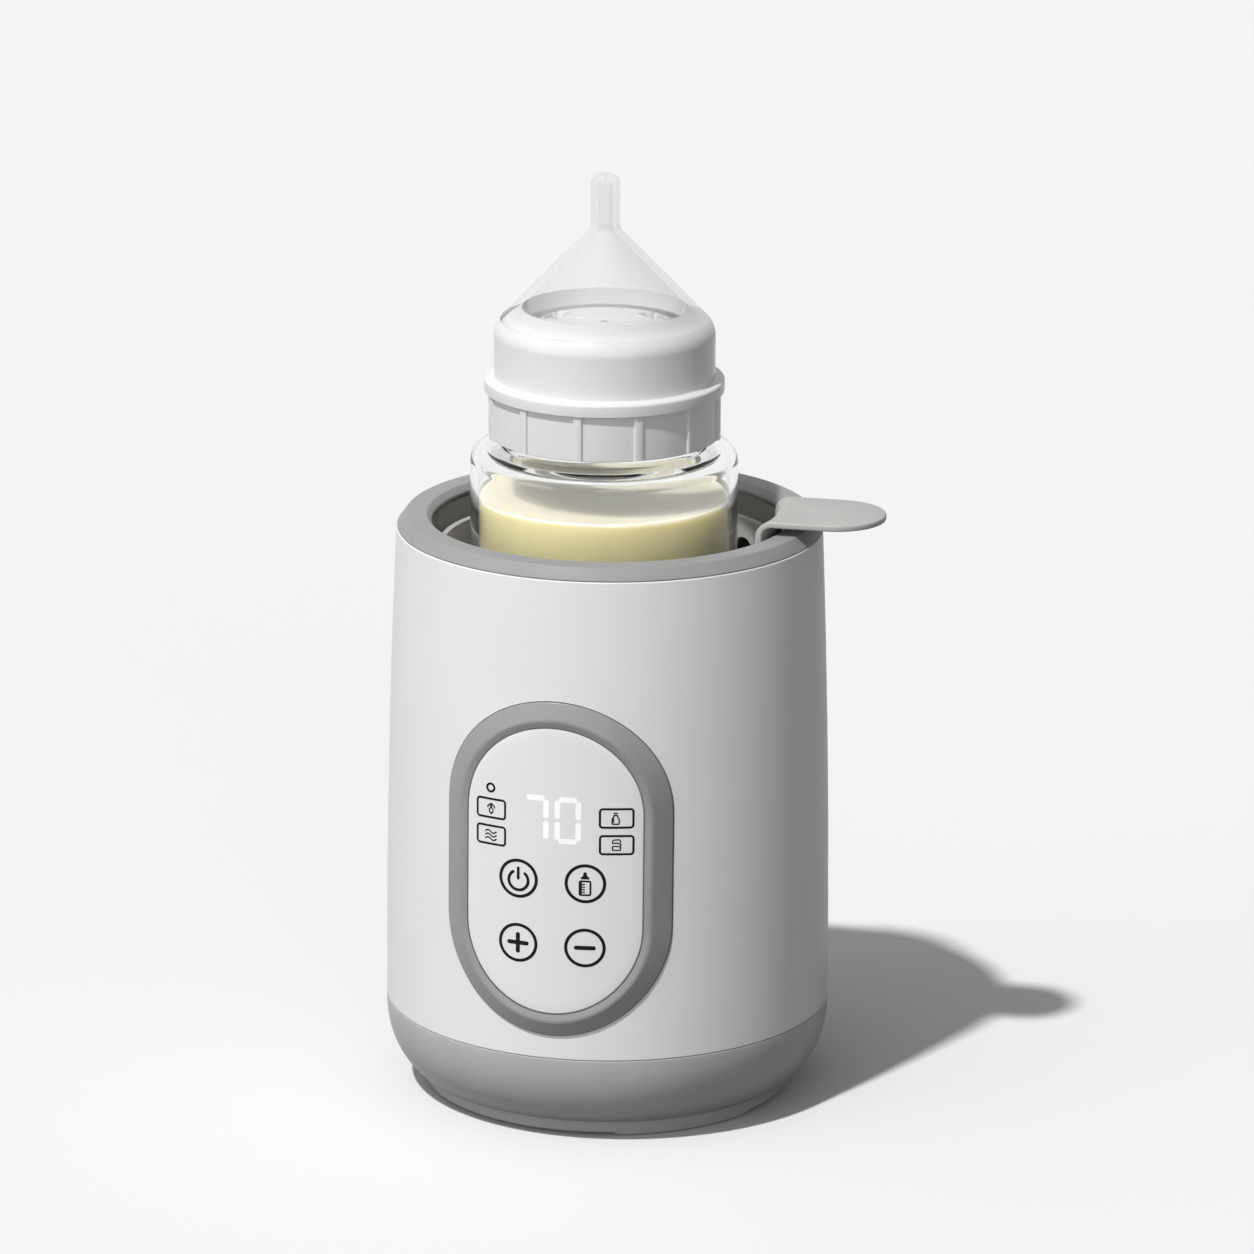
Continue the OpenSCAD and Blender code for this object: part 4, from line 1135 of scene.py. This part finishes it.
    def bars(self, x: float, lit: str, width: float) -> Bars:
        """Bars of a seven-bar digit.

        Args:
            x: its left side.
            lit: letters of the lit bars, clockwise from the top, g in the middle.
            width: distance between the left and right bars' middle lines.

        Returns:
            The ends of each lit bar.
        """
        low, high = self.digit_low, self.digit_high
        mid, gap, left, right = (low + high) / 2, self.bar_gap, x, x + width
        x0, x1 = left + gap, right - gap
        ends = {
            "a": ((x0, high), (x1, high)), "b": ((right, high - gap), (right, mid + gap)),
            "c": ((right, mid - gap), (right, low + gap)), "d": ((x1, low), (x0, low)),
            "e": ((left, low + gap), (left, mid - gap)),
            "f": ((left, mid + gap), (left, high - gap)),
            "g": ((x0, mid), (x1, mid)),
        }
        return [ends[letter] for letter in lit]

    def bar(self, a: Point, b: Point) -> Patch:
        """One lit bar with bevelled ends.

        Args:
            a: one end of its middle line.
            b: the other end.

        Returns:
            Its vertices and faces.
        """
        start, end, half = Vector(a), Vector(b), self.bar_w / 2
        along = (end - start).normalized()
        across = Vector((-along.y, along.x)) * half
        taper = along * half * 0.75
        rows = [(start, 0.3), (start + taper * 0.35, 0.66)]
        rows += [((start + taper).lerp(end - taper, k / 8), 1.0) for k in range(9)]
        rows += [(end - taper * 0.35, 0.66), (end, 0.3)]
        points = [self.on_lens(p + across * (sign * w)) for p, w in rows for sign in (-1, 1)]
        faces = [[2 * i, 2 * i + 1, 2 * i + 3, 2 * i + 2] for i in range(len(rows) - 1)]
        return points, faces


@dataclass
class Basket(Assembly):
    """Lift-out basket with its holes, strap and paddle."""

    body: str = "basket"
    edge_mm: float = 0.42
    wall_under_seal: float = 4.0

    def build(self) -> None:
        """Makes and dresses the basket."""
        wall_z = box_mm("pot_seal")[0].z - self.wall_under_seal

        def on_paddle(a: Vector, b: Vector) -> bool:
            """Whether an edge belongs to the strap or the paddle."""
            return min(a.z, b.z) > wall_z

        piece = carry("lift_basket", "basket", 30.0, self.edge_mm, on_paddle)
        turned(piece, lambda z: 0.0)
        self.add(piece, BASKET_GREY, "silver_basket", "lift_basket")


def bottle_axis() -> float:
    """Where the bottle's axis crosses X."""
    low, high = box_mm("bottle_glass")
    return (low.x + high.x) / 2


@dataclass
class BottlePart(Assembly):
    """Pieces turned round the bottle's axis, with the shapes at its mouth that they share."""

    axis_x: float = field(default_factory=bottle_axis)
    mouth_r: float = field(default_factory=lambda: box_mm("vent_disc")[1].y)
    neck_over_mouth: float = 0.4
    cone_slope: float = 1.035
    seat_slope: float = 0.77625

    @property
    def neck_r(self) -> float:
        """Outer radius of the bottle's neck."""
        return self.mouth_r + self.neck_over_mouth

    def thread(self, name: str, radii: Point, rise: float, turns: float) -> Piece:
        """Ridge of the screw thread.

        Args:
            name: the piece's name.
            radii: how far its root and its crest stand out from the neck.
            rise: height of its start over the collar's lower edge.
            turns: how far it goes round.

        Returns:
            The ridge.
        """
        root, crest = radii
        start = box_mm("collar")[0].z + rise
        return ridge(name, self.axis_x, (self.neck_r + root, self.neck_r + crest), start, turns)


@dataclass
class Bottle(BottlePart):
    """Glass bottle and the milk in it."""

    body: str = "bottle"
    wall: float = 2.3
    floor_t: float = 3.0
    foot_r: float = 4.0
    shoulder_r: float = 4.5
    neck_h: float = 28.4
    neck_wall: float = 2.4
    neck_foot_r: float = 1.3
    lip_r: float = 0.5
    thread_rise: float = 3.8
    corner_r: float = 3.0
    meniscus: tuple[Point, ...] = ((0.0, 0.05), (0.15, 0.0), (0.5, 0.32), (1.2, 0.52), (2.4, 0.6))

    def build(self) -> None:
        """Makes and dresses the bottle's pieces."""
        self.add(self.glass(), GLASS, "bottle_glass", "bottle_glass")
        self.add(self.thread("neck_thread", (-0.3, 1.1), self.thread_rise, 1.0), GLASS,
                 "bottle_glass")
        self.add(self.milk(), MILK, "milk", "milk")

    def glass(self) -> Piece:
        """Thick glass body with a rounded shoulder and a straight neck.

        Returns:
            The glass.
        """
        low, high = box_mm("bottle_glass")
        r, base, top = high.y, low.z, high.z
        s, foot, lip, bend, corner = (self.shoulder_r, self.foot_r, self.lip_r, self.neck_foot_r,
                                      self.corner_r)
        shoulder, neck, bore = top - self.neck_h, self.neck_r, self.neck_r - self.neck_wall
        under, floor, inner = shoulder - self.wall, base + self.floor_t, r - self.wall
        outline = [(0.0, base + 1.0), (r * 0.6, base + 0.6)]
        outline += arc((r - foot, base + foot), foot, -90, 0, 10)
        outline += arc((r - s, shoulder - s), s, 0, 82, 14)
        outline += arc((neck + bend, shoulder + bend), bend, 262, 180, 8)
        outline += arc((neck - lip, top - lip), lip, 0, 90, 4)
        outline += arc((bore + lip, top - lip), lip, 90, 180, 4)
        outline += [(bore, shoulder + 0.6), (bore + 0.4, under + 0.5), (bore + 1.4, under)]
        outline += arc((r - s, shoulder - s), s - self.wall, 85, 0, 10)
        outline += arc((inner - corner, floor + corner), corner, 0, -90, 8) + [(0.0, floor)]
        return lathe("bottle", outline, 200, sharp=60, axis_x=self.axis_x)

    def milk(self) -> Piece:
        """Milk with a small meniscus against the glass.

        Returns:
            The milk.
        """
        low, high = box_mm("milk")
        r, base, top, corner = high.y, low.z, high.z, self.corner_r
        outline = [(0.0, base)] + arc((r - corner, base + corner), corner, -90, 0, 8)
        outline += [(r - inset, top - drop) for inset, drop in self.meniscus]
        outline += [(0.0, top - self.meniscus[-1][1])]
        return lathe("milk_body", outline, 200, sharp=50, axis_x=self.axis_x)


@dataclass
class Closure(BottlePart):
    """Vent disc and teat."""

    body: str = "closure"
    wall: float = 2.1
    tip_r: float = 3.7
    bore_r: float = 1.8
    hole_r: float = 0.35
    tip_h: float = 14.0
    flange_in: float = 0.4
    flange_t: float = 1.6
    groove_in: float = 4.25
    groove_wall: float = 1.3
    seat_drop: float = 1.25

    def build(self) -> None:
        """Makes and dresses the disc and the teat; the disc is turned to show its slots."""
        disc = carry("vent_disc", "disc", 40.0)
        middle = Matrix.Translation((self.axis_x * MM, 0.0, 0.0))
        disc.data.transform(middle @ Matrix.Rotation(math.pi, 4, "Z") @ middle.inverted())
        self.add(disc, DISC, "disc_plastic", "vent_disc")
        self.add(self.teat(), TEAT, "teat_silicone", "teat")

    def teat(self) -> Piece:
        """Soft cone and tip over a flange with a groove for the collar's lip.

        Returns:
            The teat.
        """
        low, high = box_mm("teat")
        cone_r, top, tip_z = high.y, high.z, high.z - self.tip_h
        cone_z = tip_z - (cone_r - self.tip_r) * self.cone_slope
        flange_r, flange_z = self.mouth_r - self.flange_in, low.z + self.flange_t
        groove_r = self.mouth_r - self.groove_in
        inner_r = groove_r - self.groove_wall
        wall_z = self.wall * math.hypot(1, self.cone_slope)
        seat = cone_z - self.seat_drop
        corners = [
            (inner_r, low.z), (flange_r, low.z), (flange_r, flange_z), (groove_r, flange_z),
            (groove_r, seat + (cone_r - groove_r) * self.seat_slope), (cone_r, seat),
            (cone_r, cone_z), (self.tip_r, tip_z), (self.tip_r, top), (self.hole_r, top),
            (self.hole_r, top - 2), (self.bore_r, top - 2.15),
            (self.bore_r, tip_z - 0.2 * wall_z),
            (inner_r, tip_z - wall_z - (inner_r - self.tip_r) * self.cone_slope),
        ]
        outline = rounded(corners, {6: 0.5, 7: 2.2, 8: 2.4, 11: 0.5, 12: 2.0, 13: 1.2}, 8)
        return lathe("teat_cone", outline, 160, sharp=50, axis_x=self.axis_x)


@dataclass
class Collar(BottlePart):
    """Screw collar with ribs, a ledge and an upper tier."""

    body: str = "collar"
    thread_rise: float = 1.6
    rib_count: int = 12
    first_rib: float = -73.0
    rib_w: float = 2.2
    rib_depth: float = 0.6
    rib_r: float = 30.2
    rib_h: float = 11.7
    ledge_h: float = 3.4
    tier_r: float = 28.25
    cone_r: float = 26.6
    tier_over_teat: float = 3.0
    lip_over_teat: float = 1.7
    seat_drop: float = 1.2
    opening_in: float = 4.4
    bore_out: float = 0.9
    thread_out: float = 2.0

    def build(self) -> None:
        """Makes and dresses the collar."""
        self.add(self.cap(), COLLAR, "collar_plastic", "collar")
        self.add(self.thread("collar_thread", (2.2, 0.5), self.thread_rise, 0.75), COLLAR,
                 "collar_plastic")

    @property
    def rib_half(self) -> float:
        """Half of a rib's width, in degrees."""
        return math.degrees(self.rib_w / 2 / self.rib_r)

    def directions(self) -> list[float]:
        """Directions of the collar's rings, close together at each rib's sides.

        Returns:
            The directions, in degrees.
        """
        pitch, half, steps = 360 / self.rib_count, self.rib_half, 7
        near = [-half - 0.12, -half + 0.12, -half + 0.5, 0.0, half - 0.5, half - 0.12, half + 0.12]
        far = [lerp(near[-1], pitch + near[0], k / steps) for k in range(1, steps)]
        return [self.first_rib + i * pitch + a for i in range(self.rib_count) for a in near + far]

    def ribbed(self, angle: float, r: float, z: float) -> Point:
        """Raises the skirt's outside into ribs.

        Args:
            angle: direction of the point, in degrees.
            r: its radius.
            z: its height.

        Returns:
            The new radius and height.
        """
        pitch = 360 / self.rib_count
        off = abs((angle - self.first_rib + pitch / 2) % pitch - pitch / 2)
        if abs(r - (self.rib_r - self.rib_depth)) > 0.02 or off > self.rib_half:
            return r, z
        return r + self.rib_depth * (1.0 if off < self.rib_half - 0.4 else 0.86), z

    def cap(self) -> Piece:
        """The collar's turned shape with ribs round its skirt.

        Returns:
            The collar.
        """
        low, high = box_mm("collar")
        teat_z = box_mm("teat")[0].z
        base, ledge_r, top = low.z, high.y, teat_z + self.tier_over_teat
        ledge = base + self.rib_h
        tier = ledge + self.ledge_h
        skirt_r = self.rib_r - self.rib_depth
        angle = math.atan(1 / self.cone_slope)
        curve = (self.tier_r - self.cone_r) / (1 - math.cos(angle))
        dome = arc((self.tier_r - curve, top - curve * math.sin(angle)), curve, 0,
                   math.degrees(angle), 14)
        opening, seat = self.neck_r - self.opening_in, top - self.seat_drop
        bore, inner = self.neck_r + self.bore_out, self.neck_r + self.thread_out
        lip = teat_z + self.lip_over_teat
        foot = rounded([(inner, base), (skirt_r + 0.001, base), (skirt_r + 0.001, ledge)],
                       {1: 0.3})
        shelf = rounded([(skirt_r, ledge), (ledge_r, ledge), (ledge_r, tier), (self.tier_r, tier),
                         (self.tier_r, tier + 3)], {1: 0.25, 2: 0.75, 3: 0.5})
        outline = foot[:-1] + [(skirt_r, ledge)] + shelf[1:-1] + dome
        outline += [(self.cone_r, seat),
                    (opening, seat + (self.cone_r - opening) * self.seat_slope),
                    (opening, lip), (bore, lip), (bore, tier - 1.4), (inner, tier - 2.6)]
        return lathe("screw_collar", outline, self.directions(), self.ribbed, 28, self.axis_x)


@dataclass
class Internals(Assembly):
    """CAD nodes that are kept as they are and get their finishes."""

    finishes: tuple[tuple[Finish, str], ...] = (
        (SCREW, "shell_screws base_plate_screws pot_screws heater_nuts cutout_screws"),
        (SCREW, "display_board_screws power_board_screws inlet_screws"), (CAST, "heater_plate"),
        (ELEMENT, "heater_element temperature_probe"), (RESIN, "thermal_cutout"),
        (CERAMIC, "thermal_fuse"), (BOARD, "display_board power_board"),
        (BLACK, "display_module buzzer power_inlet"), (CLEAR_LAMP, "indicator_lamps"),
        (PLATED, "touch_springs inlet_pins"), (FLAT_CABLE, "ribbon_cable"),
        (TAPE, "transformer"), (RELAY, "relay"), (FILM, "film_capacitor"),
        (SLEEVE, "smoothing_capacitor"), (SCREW, "mains_fuse"),
        (TERMINAL, "mains_terminals heater_terminals"), (BROWN_WIRE, "mains_wires"),
        (WHITE_WIRE, "heater_wires"))

    def build(self) -> None:
        """Dresses the kept nodes."""
        for finish, nodes in self.finishes:
            for node in nodes.split():
                self.dress(node, finish)


# ---- Studio


@dataclass
class Studio:
    """Camera, floor, sky, key light and two fill lights."""

    camera_at: Place = (0.0, -1753.4, 629.8)
    pitch: float = 16.159
    yaw: float = -0.150
    roll: float = 0.332
    lens_mm: float = 203.58
    sensor_mm: float = 36.0
    clip_end_m: float = 20.0
    light_from: Place = (-0.36, -0.46, 1.0)
    sun: float = 3.12
    sun_angle: float = 2.6
    left_from: Place = (-0.86, -0.48, 0.05)
    left_fill: float = 0.88
    right_from: Place = (0.20, -0.97, 0.12)
    right_fill: float = 0.56
    fill_angle: float = 35.0
    floor_colour: Colour = (0.735, 0.735, 0.735)
    bounce_colour: Colour = (0.09, 0.09, 0.09)
    sky_level: float = 0.33
    sky_lean: tuple[float, float] = (0.68, 0.27)
    white: float = 0.93
    floor_half: float = 4000.0
    floor_drop: float = 0.05

    def build(self) -> None:
        """Makes the studio."""
        scene = bpy.context.scene
        scene.view_settings.view_transform = "Standard"
        scene.camera = self.camera()
        scene.world = self.sky()
        self.floor()
        self.lamp("key", self.light_from, self.sun, self.sun_angle)
        self.lamp("left_fill", self.left_from, self.left_fill, self.fill_angle)
        self.lamp("right_fill", self.right_from, self.right_fill, self.fill_angle)

    def camera(self) -> Piece:
        """Long-lens camera, a little above the object.

        Returns:
            The camera.
        """
        data = bpy.data.cameras.new("camera")
        data.lens = self.lens_mm
        data.sensor_width = self.sensor_mm
        data.clip_end = self.clip_end_m
        camera = bpy.data.objects.new("camera", data)
        camera.location = Vector(self.camera_at) * MM
        turn = (Matrix.Rotation(math.radians(self.yaw), 4, "Z")
                @ Matrix.Rotation(math.radians(90 - self.pitch), 4, "X")
                @ Matrix.Rotation(math.radians(self.roll), 4, "Z"))
        camera.rotation_euler = turn.to_euler()
        bpy.context.scene.collection.objects.link(camera)
        return camera

    def floor(self) -> None:
        """Wide pale floor that keeps the shadow."""
        half, z = self.floor_half, -self.floor_drop
        corners = [(-half, -half, z), (half, -half, z), (half, half, z), (-half, half, z)]
        floor = make_mesh("floor", corners, [[0, 1, 2, 3]])
        tree = new_material("floor_paint")
        self.two_faced(tree, tree.add("BsdfDiffuse", None, {"Color": self.bounce_colour}),
                       tree.add("BsdfDiffuse", None, {"Color": self.floor_colour}))
        floor.data.materials.append(tree.owner)

    def sky(self) -> bpy.types.World:
        """White backdrop, and a dimmer sky for the light, brighter at the front left.

        Returns:
            The world.
        """
        world = bpy.data.worlds.new("sky")
        tree = NodeTree(world, "ShaderNodeOutputWorld")
        place = tree.add("TexCoord", out="Generated")
        right, back = (tree.add("SeparateXYZ", None, {0: place}, axis) for axis in "XY")
        level = self.sky_level * (1.0 - self.sky_lean[0] * right - self.sky_lean[1] * back)
        glow = {"Color": (1.0, 1.0, 1.0), "Strength": level}
        backdrop = {"Color": (self.white,) * 3, "Strength": 1.0}
        self.two_faced(tree, tree.add("Background", None, glow),
                       tree.add("Background", None, backdrop))
        return world

    @staticmethod
    def two_faced(tree: NodeTree, shed: Signal, shown: Signal) -> None:
        """Gives a tree one shader for the light that it sheds and one for how it is seen.

        Args:
            tree: the tree.
            shed: the shader that lights other things.
            shown: the shader that the camera, gloss and glass show.
        """
        camera, gloss, glass = (tree.add("LightPath", out=name) for name in
                                ("Is Camera Ray", "Is Glossy Ray", "Is Transmission Ray"))
        seen = camera.math("MAXIMUM", camera, gloss.math("MAXIMUM", gloss, glass))
        tree.show(tree.add("MixShader", None, {0: seen, 1: shed, 2: shown}))

    @staticmethod
    def lamp(name: str, source: Place, energy: float, angle: float) -> None:
        """Far lamp.

        Args:
            name: its name.
            source: the direction that it shines from.
            energy: its strength.
            angle: its apparent width in degrees, which softens its shadow.
        """
        data = bpy.data.lights.new(name, "SUN")
        data.energy = energy
        data.angle = math.radians(angle)
        lamp = bpy.data.objects.new(name, data)
        lamp.rotation_euler = Vector(source).to_track_quat("Z", "Y").to_euler()
        lamp.location = Vector(source)
        bpy.context.scene.collection.objects.link(lamp)


def main() -> None:
    """Builds the studio and every sub-assembly."""
    logging.basicConfig(level=logging.INFO, format="%(message)s")
    Studio().build()
    for kind in (Housing, TouchPanel, Basket, Bottle, Closure, Collar, Internals):
        kind().build()


if __name__ == "__main__":
    main()
